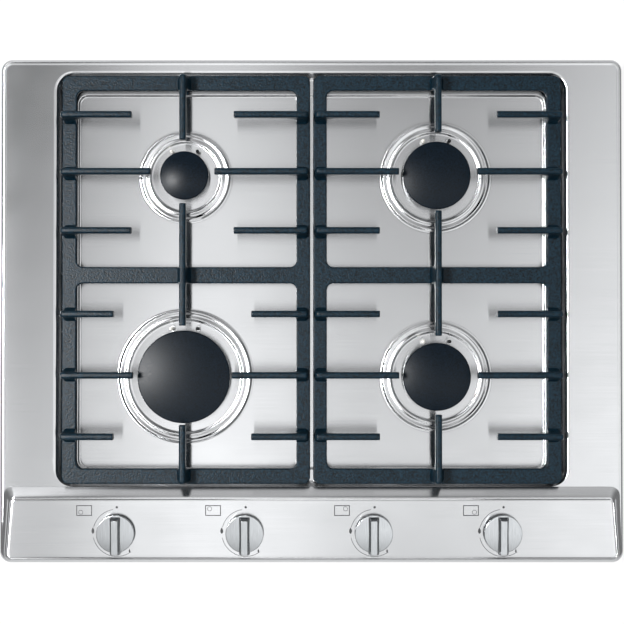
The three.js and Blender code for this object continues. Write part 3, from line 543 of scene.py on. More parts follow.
class COOKTOP_PG_top(bpy.types.PropertyGroup):
    edge_roll: bpy.props.FloatProperty(
        name="Edge roll", description="Width of the rolled outer edge, in millimetres",
        default=6.2, min=3, max=10,
    )
    edge_bead: bpy.props.FloatProperty(
        name="Edge bead", description="Crest of the rolled edge above the border, in millimetres",
        default=0.3,
    )
    well_roll: bpy.props.FloatProperty(
        name="Well roll", description="Width of the rounding round the well, in millimetres",
        default=3.6, min=1, max=6,
    )
    bead_height: bpy.props.FloatProperty(
        name="Bead height", description="Height of the beads round a burner, in millimetres", default=1.9
    )
    steel_dark: bpy.props.StringProperty(
        name="Steel, dark", description="sRGB hex colour of the steel in its brushing lines",
        default="#C5C7C9",
    )
    steel_light: bpy.props.StringProperty(
        name="Steel, light", description="sRGB hex colour of the steel between its lines", default="#D1D2D4"
    )
    steel_roughness: bpy.props.FloatProperty(
        name="Steel roughness", description="Roughness of the brushed top",
        default=0.19, min=0, max=1, subtype="FACTOR",
    )


class COOKTOP_OT_top(bpy.types.Operator):
    """Makes the pressed steel top"""

    bl_idname = "cooktop.top"
    bl_label = "Pressed top"

    def execute(self, context):
        settings = context.scene.cooktop_top
        top = link_piece("pressed_top", border_mesh(0, EDGE_Z, settings))
        combine(top, console_mesh(0, EDGE_Z), "UNION")
        cavity = link_piece("cavity", border_mesh(SHEET, EDGE_Z - 3, settings))
        combine(cavity, console_mesh(SHEET, EDGE_Z - 3), "UNION")
        combine(top, cavity.data, "DIFFERENCE")
        bpy.data.objects.remove(cavity)
        pan = link_piece("pan", well_mesh(SHEET, settings))
        outer = link_piece("outer", border_mesh(0, 40, settings))
        combine(outer, console_mesh(0, 40), "UNION")
        combine(pan, outer.data, "INTERSECT")
        bpy.data.objects.remove(outer)
        combine(top, pan.data, "UNION")
        bpy.data.objects.remove(pan)
        combine(top, well_mesh(0, settings), "DIFFERENCE")
        cuts = []
        for tag, burner in BURNERS.items():
            x, y, r = burner["x"], burner["y"], burner["cap"] + 24
            cuts.append(rod("room", r, (x, y, FLOOR_Z - 4), (x, y, FLOOR_Z + 0.6), 96))
            hole = (KNOB_X[tag], KNOB_Y, panel_z(KNOB_Y))
            lean = Vector((0, -math.sin(PANEL_TILT), math.cos(PANEL_TILT)))
            cuts.append(rod("hole", 5, Vector(hole) - 3 * lean, Vector(hole) + 2 * lean))
        combine(top, joined("cuts", cuts), "DIFFERENCE")
        for burner in BURNERS.values():
            combine(top, pressing_mesh(burner, settings), "UNION")
        holes = [
            rod("hole", radius, (x, y, DISH_Z - 4), (x, y, DISH_Z + 4), 20)
            for burner in BURNERS.values()
            for (x, y), radius in zip(sensor_places(burner), (3.1, 2.8))
        ]
        combine(top, joined("holes", holes), "DIFFERENCE")
        dress(top, material("brushed_stainless"), "hob", ["hob_tray"], 28, "Y")
        return {"FINISHED"}


# ---- Printed marks --------------------------------------------------------------------


def ribbon(points, width):
    """A flat line through points on the panel, as [x, y] outlines of its short pieces."""
    pieces = []
    for (xa, ya), (xb, yb) in zip(points, points[1:]):
        length = math.hypot(xb - xa, yb - ya)
        nx, ny = -(yb - ya) / length * width / 2, (xb - xa) / length * width / 2
        ex, ey = (xb - xa) / length * width * 0.3, (yb - ya) / length * width * 0.3
        pieces.append(
            [
                (xa + nx - ex, ya + ny - ey),
                (xa - nx - ex, ya - ny - ey),
                (xb - nx + ex, yb - ny + ey),
                (xb + nx + ex, yb + ny + ey),
            ]
        )
    return pieces


def circle(x, y, radius, count=24):
    return [
        (x + radius * math.cos(2 * math.pi * i / count), y + radius * math.sin(2 * math.pi * i / count))
        for i in range(count)
    ]


def arc(radius, start, end, count):
    """Points on a circle about the knob, from one clock angle to another, anticlockwise."""
    angles = [math.radians(90 + lerp(start, end, i / count)) for i in range(count + 1)]
    return [(ARC_SHIFT + radius * math.cos(a), radius * math.sin(a)) for a in angles]


def flame(x, y, size):
    """A plain flame: a drop with a pointed top."""
    outline = (
        (0, 1.0), (0.34, 0.35), (0.46, -0.2), (0.32, -0.72),
        (0, -1.0), (-0.32, -0.72), (-0.46, -0.2), (-0.34, 0.35),
    )
    return [(x + u * size, y + v * size) for u, v in outline]


def knob_marks(burner):
    """The marks round one knob, about its axis: dot, two arcs, two flames and a burner plan."""
    shapes = [circle(1.0, 26.8, 1.25)]
    shapes += ribbon(arc(ARC_RADIUS, 9, 76, 14), 0.5)
    shapes += ribbon(arc(ARC_RADIUS, 102, 216, 22), 0.5)
    shapes.append(flame(-23.9, 2.4, 3.4))
    shapes.append(flame(14.0, -18.6, 1.9))
    left, right, low, high = PLAN
    frame_line = [(left, low), (right, low), (right, high), (left, high), (left, low)]
    shapes += ribbon(frame_line, 0.85)
    x = left + 4.1 if burner["x"] < 0 else right - 4.1
    y = low + 3.3 if burner["y"] < 0 else high - 3.3
    ring = circle(x, y, 2.2, 20)
    shapes += ribbon(ring + ring[:1], 0.45)
    return shapes


class COOKTOP_OT_marks(bpy.types.Operator):
    """Prints the marks beside the knobs on the panel"""

    bl_idname = "cooktop.marks"
    bl_label = "Printed marks"

    def execute(self, context):
        points, faces = [], []
        for tag, burner in BURNERS.items():
            for outline in knob_marks(burner):
                start, n = len(points), len(outline)
                for lift in (-PRINT_THICK / 2, PRINT_THICK):
                    for u, v in outline:
                        y = KNOB_Y + v * math.cos(PANEL_TILT)
                        points.append((KNOB_X[tag] + u, y, panel_z(y) + lift))
                faces.append(tuple(range(start + n - 1, start - 1, -1)))
                faces.append(tuple(range(start + n, start + 2 * n)))
                for i in range(n):
                    j = (i + 1) % n
                    faces.append((start + i, start + j, start + n + j, start + n + i))
        marks = link_piece("panel_marks", mesh_from("panel_marks", points, faces))
        dress(marks, material("fired_print"), "hob")
        return {"FINISHED"}


# ---- Pan supports ---------------------------------------------------------------------


def finger_section(station, settings):
    """One cross-section of a finger: [across, height] points, anticlockwise."""
    _, rise, drop, width, flare, _ = station
    half = settings.finger_width / 2
    top = FINGER_TOP - drop
    bottom = lerp(RAIL_TOP - 1.2, FINGER_TOP - settings.finger_depth, rise)
    crown = min(settings.finger_crown, 0.8 * half)
    side = []
    for i in range(9):
        t = i / 8
        tuck = 0.35 * half * (1 - flare) * max(0.0, 1 - t / 0.2)
        spread = settings.root_flare * flare * (1 - t) ** 3.6
        share = width if flare < 0.5 else lerp(width, 1, 0.6)
        side.append(((half - tuck + spread) * share, lerp(bottom, top - crown, t)))
    for i in range(1, 5):
        a = math.radians(90 * i / 4)
        side.append(((half - crown * (1 - math.cos(a))) * width, top - crown * (1 - math.sin(a))))
    return side + [(-u, z) for u, z in reversed(side)]


def finger_template(name, stations, settings):
    """A finger along +X from the outer edge of its rail. Its tip is marked for stretching."""
    sections = [finger_section(s, settings) for s in stations]
    rings = [[(s[0], u, z) for u, z in section] for s, section in zip(stations, sections)]
    template = link_piece(name, stacked(name, rings))
    along = template.data.attributes.new("along", "FLOAT", "POINT")
    count = len(rings[0])
    marks = [s[5] for s in stations for _ in range(count)]
    along.data.foreach_set("value", marks)
    return template


TEMPLATE_LENGTH = 60.0

# Stations of a finger: distance, rise of its underside, drop of its top, width, flare of its
# foot, and 1 where it moves with the tip.
TIP = (
    (TEMPLATE_LENGTH - 2.4, 1.0, 0.0, 1.0, 0.0, 1),
    (TEMPLATE_LENGTH - 1.0, 1.0, 0.05, 1.0, 0.0, 1),
    (TEMPLATE_LENGTH - 0.4, 0.99, 0.3, 0.97, 0.0, 1),
    (TEMPLATE_LENGTH - 0.08, 0.97, 0.8, 0.9, 0.0, 1),
    (TEMPLATE_LENGTH, 0.95, 1.4, 0.82, 0.0, 1),
)
# The arch beyond the edge of a rail: distance, rise and flare.
ARCH = (
    (-0.6, 0.0, 1.0), (-0.1, 0.02, 0.85), (0.2, 0.1, 0.3), (0.5, 0.2, 0.0), (2.4, 0.42, 0.0),
    (5.0, 0.68, 0.0), (8.4, 0.88, 0.0), (11.6, 0.97, 0.0), (15, 1.0, 0.0),
)


def rail_stations(rail):
    outer = (
        (1.6, 0, 5.2, 0.42, 0.55, 0),
        (1.9, 0, 3.2, 0.62, 0.75, 0),
        (2.6, 0, 1.5, 0.8, 0.88, 0),
        (3.6, 0, 0.5, 0.93, 0.96, 0),
        (5.0, 0, 0.0, 1.0, 1.0, 0),
    )
    arch = tuple((rail + run, rise, 0.0, 1.0, flare, 0) for run, rise, flare in ARCH)
    return outer + arch + TIP


def bridge_stations(rail):
    """Half of the finger that stands on the middle rail, from the rail's middle."""
    arch = tuple((rail / 2 + run, rise, 0.0, 1.0, flare, 0) for run, rise, flare in ARCH)
    return ((0.0, 0, 0.0, 1.0, 1.0, 0),) + arch + TIP


def new_tree(name, inputs):
    """A geometry tree with named inputs and one output."""
    tree = bpy.data.node_groups.new(name, "GeometryNodeTree")
    for label, kind in inputs.items():
        tree.interface.new_socket(label, in_out="INPUT", socket_type="NodeSocket" + kind)
    tree.interface.new_socket("Geometry", in_out="OUTPUT", socket_type="NodeSocketGeometry")
    return tree


def run_tree(piece, tree, values):
    """Runs a geometry tree on a piece with the given inputs and keeps its plain mesh."""
    modifier = piece.modifiers.new(tree.name, "NODES")
    modifier.node_group = tree
    sockets = {s.name: s.identifier for s in tree.interface.items_tree if s.in_out == "INPUT"}
    for name, value in values.items():
        modifier[sockets[name]] = value
    return settle(piece)


def copies_tree():
    """Copies of one object on points, each turned, with its tip drawn out to its own length."""
    tree = bpy.data.node_groups.get("Drawn copies")
    if tree:
        return tree
    tree = new_tree("Drawn copies", {"Places": "Geometry", "Copy": "Object", "Finish": "Material"})
    given = add(tree, "NodeGroupInput")
    copy = add(tree, "GeometryNodeObjectInfo", {"Object": given.outputs["Copy"]})
    turn = add(tree, "GeometryNodeInputNamedAttribute", {"Name": "turn"}, data_type="FLOAT")
    angles = add(tree, "ShaderNodeCombineXYZ", {"Z": turn.outputs["Attribute"]})
    inputs = {"Points": given.outputs["Places"], "Instance": copy.outputs["Geometry"]}
    inputs["Rotation"] = angles.outputs[0]
    placed = add(tree, "GeometryNodeInstanceOnPoints", inputs)
    real = add(tree, "GeometryNodeRealizeInstances", {"Geometry": placed.outputs[0]})
    along = add(tree, "GeometryNodeInputNamedAttribute", {"Name": "along"}, data_type="FLOAT")
    reach = add(tree, "GeometryNodeInputNamedAttribute", {"Name": "reach"}, data_type="FLOAT_VECTOR")
    inputs = {0: reach.outputs["Attribute"], "Scale": along.outputs["Attribute"]}
    offset = add(tree, "ShaderNodeVectorMath", inputs, operation="SCALE")
    inputs = {"Geometry": real.outputs[0], "Offset": offset.outputs[0]}
    drawn = add(tree, "GeometryNodeSetPosition", inputs)
    inputs = {"Geometry": drawn.outputs[0], "Material": given.outputs["Finish"]}
    done = add(tree, "GeometryNodeSetMaterial", inputs)
    add(tree, "NodeGroupOutput", {"Geometry": done.outputs[0]})
    return tree


def copies(name, template, places, finish):
    """Copies of a template at [x, y, turn, length] places, as one plain mesh."""
    mesh = bpy.data.meshes.new(name)
    mesh.from_pydata([Vector((x, y, 0)) / 1000 for x, y, _, _ in places], [], [])
    turn = mesh.attributes.new("turn", "FLOAT", "POINT")
    reach = mesh.attributes.new("reach", "FLOAT_VECTOR", "POINT")
    for i, (_, _, angle, length) in enumerate(places):
        extra = (length - TEMPLATE_LENGTH) / 1000 if length else 0
        a = math.radians(angle)
        turn.data[i].value = a
        reach.data[i].vector = (extra * math.cos(a), extra * math.sin(a), 0)
    return run_tree(link_piece(name, mesh), copies_tree(), {"Copy": template, "Finish": finish})


def rail_rings(x, y, settings, sign):
    """The outline of a frame, or with sign -1 of a window in it, from its underside to its top."""
    r, draft = settings.rail_round, settings.rail_draft
    levels = [(draft + 0.7, RAIL_BASE), (draft, RAIL_BASE + 0.7)]
    for i in range(5):
        a = math.radians(90 * i / 4)
        levels.append((r * (1 - math.cos(a)), RAIL_TOP - r * (1 - math.sin(a))))
    if sign < 0:
        levels = [(levels[0][0], RAIL_BASE - 2)] + levels + [(levels[-1][0], RAIL_TOP + 2)]
    rings = []
    for inset, z in levels:
        d = sign * inset
        rings.append(round_rect((x[0] + d,) * 2, (x[1] - d,) * 2, y[0] + d, y[1] - d, 7 - d, z, 8))
    return rings


def frame_object(name, x0, x1, settings):
    """The rails of a pan support: a drafted plate with two windows and rounded edges."""
    outline = rail_rings((x0, x1), (SUPPORT_FRONT, SUPPORT_REAR), settings, 1)
    support = link_piece(name, stacked(name, outline))
    left, right = (SIDE_RAIL, SPLIT_RAIL) if x0 < -SUPPORT_SPLIT else (SPLIT_RAIL, SIDE_RAIL)
    windows = (
        (SUPPORT_FRONT + FRONT_RAIL, MIDDLE_Y - MIDDLE_RAIL / 2),
        (MIDDLE_Y + MIDDLE_RAIL / 2, SUPPORT_REAR - REAR_RAIL),
    )
    cut = [stacked("window", rail_rings((x0 + left, x1 - right), y, settings, -1)) for y in windows]
    return combine(support, joined("windows", cut), "DIFFERENCE")


class COOKTOP_PG_castings(bpy.types.PropertyGroup):
    finger_width: bpy.props.FloatProperty(
        name="Finger width", description="Width of a pan support's finger, in millimetres",
        default=6.7, min=4, max=10,
    )
    finger_depth: bpy.props.FloatProperty(
        name="Finger depth", description="Height of a finger's arm, in millimetres",
        default=9.5, min=5, max=15,
    )
    finger_crown: bpy.props.FloatProperty(
        name="Finger crown", description="Rounding of a finger's top edges, in millimetres", default=2.3
    )
    root_flare: bpy.props.FloatProperty(
        name="Root flare", description="Widening of a finger's foot on the rail, in millimetres",
        default=4.5,
    )
    rail_draft: bpy.props.FloatProperty(
        name="Rail draft", description="How far a rail's sides lean in to its underside, in millimetres",
        default=1.4,
    )
    rail_round: bpy.props.FloatProperty(
        name="Rail rounding", description="Rounding of the rails' edges, in millimetres", default=1.5
    )
    iron_dark: bpy.props.StringProperty(
        name="Iron, dark", description="sRGB hex colour of the enamelled iron, dark specks",
        default="#01060A",
    )
    iron_light: bpy.props.StringProperty(
        name="Iron, light", description="sRGB hex colour of the enamelled iron, light specks",
        default="#0F2A38",
    )
    cap_dark: bpy.props.StringProperty(
        name="Cap, dark", description="sRGB hex colour of the burner caps, dark specks", default="#01070D"
    )
    cap_light: bpy.props.StringProperty(
        name="Cap, light", description="sRGB hex colour of the burner caps, light specks", default="#061521"
    )


class COOKTOP_OT_supports(bpy.types.Operator):
    """Makes both cast pan supports with their rubber feet"""

    bl_idname = "cooktop.supports"
    bl_label = "Pan supports"

    def execute(self, context):
        settings = context.scene.cooktop_castings
        iron = material("enamelled_cast_iron")
        rails = {"side": SIDE_RAIL, "split": SPLIT_RAIL, "rear": REAR_RAIL, "front": FRONT_RAIL}
        templates = {
            kind: finger_template(kind, rail_stations(width), settings) for kind, width in rails.items()
        }
        half = bridge_stations(MIDDLE_RAIL)
        templates["bridge"] = finger_template("bridge", half, settings)
        base = LEDGE_Z + 0.3
        outline = ((0, 0), (3.6, 0), (4.3, 0.5), (4.8, 3.2), (2.2, 3.2), (2.2, 6.4), (0, 6.4))
        foot = link_piece("foot", turned("foot", [(r, base + z) for r, z in outline], 24))
        for side, word in ((-1, "left"), (1, "right")):
            pair = [b for b in BURNERS.values() if b["x"] * side > 0]
            front, rear = sorted(pair, key=lambda b: b["y"])
            edge = SUPPORT_SPLIT / 2
            x0, x1 = (-SUPPORT_X, -edge) if side < 0 else (edge, SUPPORT_X)
            places = {kind: [] for kind in templates}
            outer, inner = ("side", "split") if side < 0 else ("split", "side")
            for burner, steps in ((front, FRONT_ROWS), (rear, REAR_ROWS)):
                for step in steps:
                    tips = burner["tips"] + (OUTER_TIPS if step else 0)
                    y = burner["y"] + ROW_SHIFT + step
                    places[outer].append((x0, y, 0, burner["x"] - tips - x0))
                    places[inner].append((x1, y, 180, x1 - burner["x"] - tips))
            front_y, rear_y = front["y"] + ROW_SHIFT, rear["y"] + ROW_SHIFT
            places["rear"].append((rear["x"], SUPPORT_REAR, 270, SUPPORT_REAR - rear_y - rear["tips"]))
            places["front"].append((front["x"], SUPPORT_FRONT, 90, front_y - front["tips"] - SUPPORT_FRONT))
            places["bridge"].append((rear["x"], MIDDLE_Y, 90, rear_y - rear["tips"] - MIDDLE_Y))
            places["bridge"].append((front["x"], MIDDLE_Y, 270, MIDDLE_Y - front_y - front["tips"]))
            fingers = [copies("fingers", templates[kind], spots, iron) for kind, spots in places.items()]
            support = frame_object(f"cast_support_{word}", x0, x1, settings)
            support.data = joined("support", [support.data] + [f.data for f in fingers])
            dress(support, iron, f"support_{word}", [f"pan_support_{word}"], 40)
            ys = (SUPPORT_FRONT + FRONT_RAIL / 2, SUPPORT_REAR - REAR_RAIL / 2)
            xs = (edge + SPLIT_RAIL / 2, SUPPORT_X - SIDE_RAIL / 2)
            spots = [(side * x, y, 0, 0) for y in ys for x in xs]
            feet = copies(f"rubber_feet_{word}", foot, spots, material("silicone_rubber"))
            names = [f"support_foot_{word}_{i}" for i in (1, 2, 3, 4)]
            dress(feet, material("silicone_rubber"), f"support_{word}", names, 40)
            for finger in fingers:
                bpy.data.objects.remove(finger)
        for template in (*templates.values(), foot):
            bpy.data.objects.remove(template)
        return {"FINISHED"}


# ---- Burners --------------------------------------------------------------------------


def cap_mesh(burner):
    """A slightly domed lid with a rounded rim, and a plug that keeps it in the crown."""
    r = burner["cap"]
    plug = r - 6.1
    outline = ((0, -2.4), (plug - 0.5, -2.4), (plug, -1.9), (plug, 0), (r - 1.0, 0))
    outline += ((r - 0.45, 0.15), (r - 0.1, 0.7), (r, 1.6))
    profile = [(out, CAP_Z + lift) for out, lift in outline]
    for i in range(1, 9):
        a = math.radians(90 * i / 8)
        profile.append((r - 1.3 * (1 - math.cos(a)), CAP_Z + 1.6 + 1.9 * math.sin(a)))
    for i in range(1, 9):
        t = 1 - i / 8
        profile.append(((r - 1.3) * t, CAP_Z + 3.5 + 3.6 * (1 - t * t)))
    return turned("cap", profile, 96, burner["x"], burner["y"])


def ports_tree():
    """Teeth between the flame ports, on a circle."""
    tree = bpy.data.node_groups.get("Port crown")
    if tree:
        return tree
    sizes = {"Ports": "Int", "Radius": "Float", "Wall": "Float", "Depth": "Float", "Slot": "Float"}
    tree = new_tree("Port crown", {"Geometry": "Geometry", **sizes, "Finish": "Material"})
    given = add(tree, "NodeGroupInput")
    inputs = {"Vertices": given.outputs["Ports"], "Radius": given.outputs["Radius"]}
    ring = add(tree, "GeometryNodeMeshCircle", inputs)
    around = add(tree, "ShaderNodeMath", {0: given.outputs["Radius"], 1: 2 * math.pi}, operation="MULTIPLY")
    pitch = add(tree, "ShaderNodeMath", {0: around.outputs[0], 1: given.outputs["Ports"]}, operation="DIVIDE")
    width = add(tree, "ShaderNodeMath", {0: pitch.outputs[0], 1: given.outputs["Slot"]}, operation="SUBTRACT")
    inputs = {"X": given.outputs["Wall"], "Y": width.outputs[0], "Z": given.outputs["Depth"]}
    size = add(tree, "ShaderNodeCombineXYZ", inputs)
    tooth = add(tree, "GeometryNodeMeshCube", {"Size": size.outputs[0]})
    position = add(tree, "GeometryNodeInputPosition")
    facing = add(tree, "FunctionNodeAlignRotationToVector", {"Vector": position.outputs[0]}, axis="X")
    inputs = {"Points": ring.outputs[0], "Instance": tooth.outputs["Mesh"], "Rotation": facing.outputs[0]}
    placed = add(tree, "GeometryNodeInstanceOnPoints", inputs)
    real = add(tree, "GeometryNodeRealizeInstances", {"Geometry": placed.outputs[0]})
    inputs = {"Geometry": real.outputs[0], "Material": given.outputs["Finish"]}
    done = add(tree, "GeometryNodeSetMaterial", inputs)
    add(tree, "NodeGroupOutput", {"Geometry": done.outputs[0]})
    return tree


def head_meshes(burner, finish):
    """The flame spreader: a skirted plate with a wall, and teeth between its flame ports."""
    edge = burner["cap"] - HEAD_INSET
    skirt = (burner["cap"] - 8.7) * math.cos(math.pi / 14) - 0.3
    plate = HEAD_BASE + 2.4
    shelf = HEAD_TOP - PORT_DEPTH
    profile = [
        (skirt - 2.4, HEAD_BASE - 6), (skirt, HEAD_BASE - 6), (skirt, HEAD_BASE), (edge - 1.4, HEAD_BASE),
        (edge - 0.5, HEAD_BASE + 0.3), (edge, HEAD_BASE + 1.2), (edge, shelf), (edge - HEAD_WALL, shelf),
        (edge - HEAD_WALL, plate), (skirt - 2.4, plate),
    ]
    body = turned("head", profile, 96, burner["x"], burner["y"])
    crown = link_piece("crown", bpy.data.meshes.new("crown"))
    sizes = {"Radius": edge - HEAD_WALL / 2, "Wall": HEAD_WALL, "Depth": PORT_DEPTH, "Slot": PORT_SLOT}
    values = {name: size / 1000 for name, size in sizes.items()}
    run_tree(crown, ports_tree(), {"Ports": burner["ports"], **values, "Finish": finish})
    teeth = crown.data
    middle = Vector((burner["x"], burner["y"], shelf + PORT_DEPTH / 2))
    teeth.transform(Matrix.Translation(middle / 1000))
    bpy.data.objects.remove(crown)
    return [body, teeth]


def cup_meshes(burner):
    """The cup under the top: collar, flange, bowl and throat, with the injector's arm."""
    x, y = burner["x"], burner["y"]
    collar = burner["cap"] - 6.5
    bowl = FLANGE_Z - 8
    profile = [
        (0, 15), (10.6, 15), (11.2, 15.6), (11.2, bowl - 8),
        (collar + 5, FLANGE_Z - 2), (collar + 5, FLANGE_Z), (collar, FLANGE_Z),
        (collar, DISH_Z + 2.2), (collar - 0.4, DISH_Z + 2.6), (collar - 2.2, DISH_Z + 2.6),
        (collar - 2.2, bowl), (9, bowl - 8), (9, 20), (0, 20),
    ]
    arm = rod("arm", 6.2, (x, y - 29, INJECTOR_Z), (x, y - 5, INJECTOR_Z), 24)
    meshes = [turned("cup", profile, 72, x, y), arm]
    for sx, sy in sensor_places(burner):
        ear = (sx, sy, FLANGE_Z - 4)
        meshes.append(rod("ear", 5.0, ear, (sx, sy, FLANGE_Z - 0.02), 20))
    return meshes


class COOKTOP_OT_burners(bpy.types.Operator):
    """Makes caps, flame spreaders, cups, spark plugs and flame sensors"""

    bl_idname = "cooktop.burners"
    bl_label = "Burners"

    def execute(self, context):
        aluminium = material("cast_aluminium")
        for tag, burner in BURNERS.items():
            cap = link_piece(f"cap_{tag}", cap_mesh(burner))
            dress(cap, material("cap_enamel"), f"cap_{tag}", [f"burner_cap_{tag}"], 40)
            head = link_piece(f"spreader_{tag}", joined("head", head_meshes(burner, aluminium)))
            dress(head, aluminium, f"head_{tag}", [f"burner_head_{tag}"], 40)
            cup = link_piece(f"cup_{tag}", joined("cup", cup_meshes(burner)))
            dress(cup, aluminium, "hob", [f"burner_cup_{tag}"], 40)
            (sx, sy), (px, py) = sensor_places(burner)
            foot = FLANGE_Z - 12
            outline = ((2.1, -3), (1.9, -2.4), (1.2, -1.6), (0.8, -1.4), (0.8, 1.3), (0.5, 1.6), (0, 1.6))
            body = [(0, foot), (2.1, foot)] + [(r, CAP_Z + z) for r, z in outline]
            spark = link_piece(f"spark_{tag}", turned("spark", body, 24, sx, sy))
            dress(spark, material("glazed_ceramic"), "hob", [f"spark_plug_{tag}"], 40)
            outline = ((1.8, -1.4), (1.6, -0.9), (1.1, -0.3), (0.6, 0), (0, 0))
            body = [(0, foot), (1.8, foot)] + [(r, CAP_Z + z) for r, z in outline]
            probe = link_piece(f"probe_{tag}", turned("probe", body, 24, px, py))
            dress(probe, material("scaled_steel"), "hob", [f"flame_sensor_{tag}"], 40)
        return {"FINISHED"}


# ---- Knobs ----------------------------------------------------------------------------


class COOKTOP_PG_knobs(bpy.types.PropertyGroup):
    disc_dome: bpy.props.FloatProperty(
        name="Disc dome", description="Rise of the knob's disc to its middle, in millimetres", default=0.5
    )
    disc_round: bpy.props.FloatProperty(
        name="Disc rounding", description="Rounding of the disc's edge, in millimetres", default=0.6
    )
    steel_dark: bpy.props.StringProperty(
        name="Knob steel, dark", description="sRGB hex colour in the brushing lines", default="#9A9DA0"
    )
    steel_light: bpy.props.StringProperty(
        name="Knob steel, light", description="sRGB hex colour between the lines", default="#B6B9BB"
    )
    steel_roughness: bpy.props.FloatProperty(
        name="Knob roughness", description="Roughness of the brushed knobs",
        default=0.2, min=0, max=1, subtype="FACTOR",
    )


def knob_mesh(settings):
    """A knob about its own axis: a domed disc with a bar grip on a flared foot."""
    r, low, high = KNOB_RADIUS, DISC_LOW, DISC_HIGH
    edge = settings.disc_round
    profile = [(0, low), (r - 0.5, low), (r, low + 0.5), (r, high - edge)]
    for i in range(1, 7):
        a = math.radians(90 * i / 6)
        profile.append((r - edge * (1 - math.cos(a)), high - edge * (1 - math.sin(a))))
    for i in range(1, 7):
        t = 1 - i / 6
        profile.append(((r - edge) * t, high + settings.disc_dome * (1 - t * t)))
    disc = turned("disc", profile, 96)
    top = high + GRIP_RISE
    rings = [
        round_rect((-half, -half), (half, half), -front, rear, 0.7, z, 4)
        for half, rear, front, z in (
            (5.6, 17.9, 21.0, high - 0.6),
            (5.5, 17.8, 21.2, high + 0.1),
            (4.5, 17.2, 21.6, high + 1.2),
            (3.8, 16.5, 21.7, high + 2.4),
            (3.6, 15.5, 21.2, high + 4.4),
            (3.5, 15.0, 20.6, top - 0.6),
            (3.3, 14.7, 20.3, top - 0.15),
            (3.0, 14.4, 20.0, top),
        )
    ]
    return joined("knob", [disc, stacked("grip", rings)])


class COOKTOP_OT_knobs(bpy.types.Operator):
    """Makes the four knobs on the sloping panel"""

    bl_idname = "cooktop.knobs"
    bl_label = "Knobs"

    def execute(self, context):
        plain = knob_mesh(context.scene.cooktop_knobs)
        for tag, x in KNOB_X.items():
            knob = link_piece(f"knob_grip_{tag}", plain.copy())
            place = Matrix.Translation(Vector((x, KNOB_Y, panel_z(KNOB_Y))) / 1000)
            knob.data.transform(place @ Matrix.Rotation(PANEL_TILT, 4, "X"))
            steel = material("brushed_knob_steel")
            dress(knob, steel, f"knob_{tag}", [f"knob_{tag}"], 40, "X")
        return {"FINISHED"}


# ---- Carried-over nodes ---------------------------------------------------------------


class COOKTOP_OT_fittings(bpy.types.Operator):
    """Finishes the nodes that keep their CAD shape: box, seal, gas line, taps and clamps"""

    bl_idname = "cooktop.fittings"
    bl_label = "Fittings"

    def execute(self, context):
        finishes = {
            "base_box": "galvanised_sheet",
            "rim_seal": "foam_rubber",
            "gas_manifold": "galvanised_sheet",
            "gas_inlet": "machined_brass",
            "ignition_module": "moulded_pbt",
            "feed_pipe": "drawn_aluminium",
            "gas_tap": "forged_brass",
            "plunger": "machined_brass",
            "spindle": "turned_steel",
            "worktop_clamp": "galvanised_sheet",
        }
        for name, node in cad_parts.items():
            kind = next((k for k in finishes if name.startswith(k)), None)
            if kind:
                node.data.materials.clear()
                node.data.materials.append(material(finishes[kind]))
        return {"FINISHED"}


# ---- Stage ----------------------------------------------------------------------------


class COOKTOP_PG_stage(bpy.types.PropertyGroup):
    camera_height: bpy.props.FloatProperty(
        name="Camera distance", description="Distance from the top's border to the camera",
        default=1.4, unit="LENGTH",
    )
    camera_lean: bpy.props.FloatProperty(
        name="Camera lean", description="Angle of the view off the vertical",
        default=math.radians(0.9), subtype="ANGLE",
    )
    field: bpy.props.FloatProperty(
        name="Field", description="Width of the view at the top's border", default=0.6508, unit="LENGTH"
    )
    floor_color: bpy.props.StringProperty(
        name="Floor", description="sRGB hex colour of the floor", default="#EDEDEC"
    )
    ceiling_across: bpy.props.FloatVectorProperty(
        name="Ceiling across", description="Brightness of the ceiling from left to right", size=9,
        default=(0.16, 0.2, 0.56, 0.82, 0.6, 0.48, 0.58, 0.74, 0.8),
    )
    ceiling_along: bpy.props.FloatVectorProperty(
        name="Ceiling along", description="What the ceiling gains from front to rear", size=5,
        default=(0.0, 1.0, 0.62, 0.16, 0.06),
    )
    ceiling_level: bpy.props.FloatProperty(
        name="Ceiling level", description="Brightness of the ceiling as a whole", default=1.65, min=0
    )
    wall_level: bpy.props.FloatProperty(
        name="Wall level", description="Brightness of the surroundings below the ceiling",
        default=0.24, min=0,
    )
    rear_level: bpy.props.FloatProperty(
        name="Rear level", description="Brightness of the pale wall behind the cooktop", default=0.75, min=0
    )


def set_stops(ramp, values):
    """Spreads grey stops evenly over a colour ramp."""
    ramp.interpolation = "CARDINAL"
    while len(ramp.elements) < len(values):
        ramp.elements.new(0.5)
    for i, (stop, value) in enumerate(zip(ramp.elements, values)):
        stop.position = i / (len(values) - 1)
        stop.color = (value, value, value, 1)


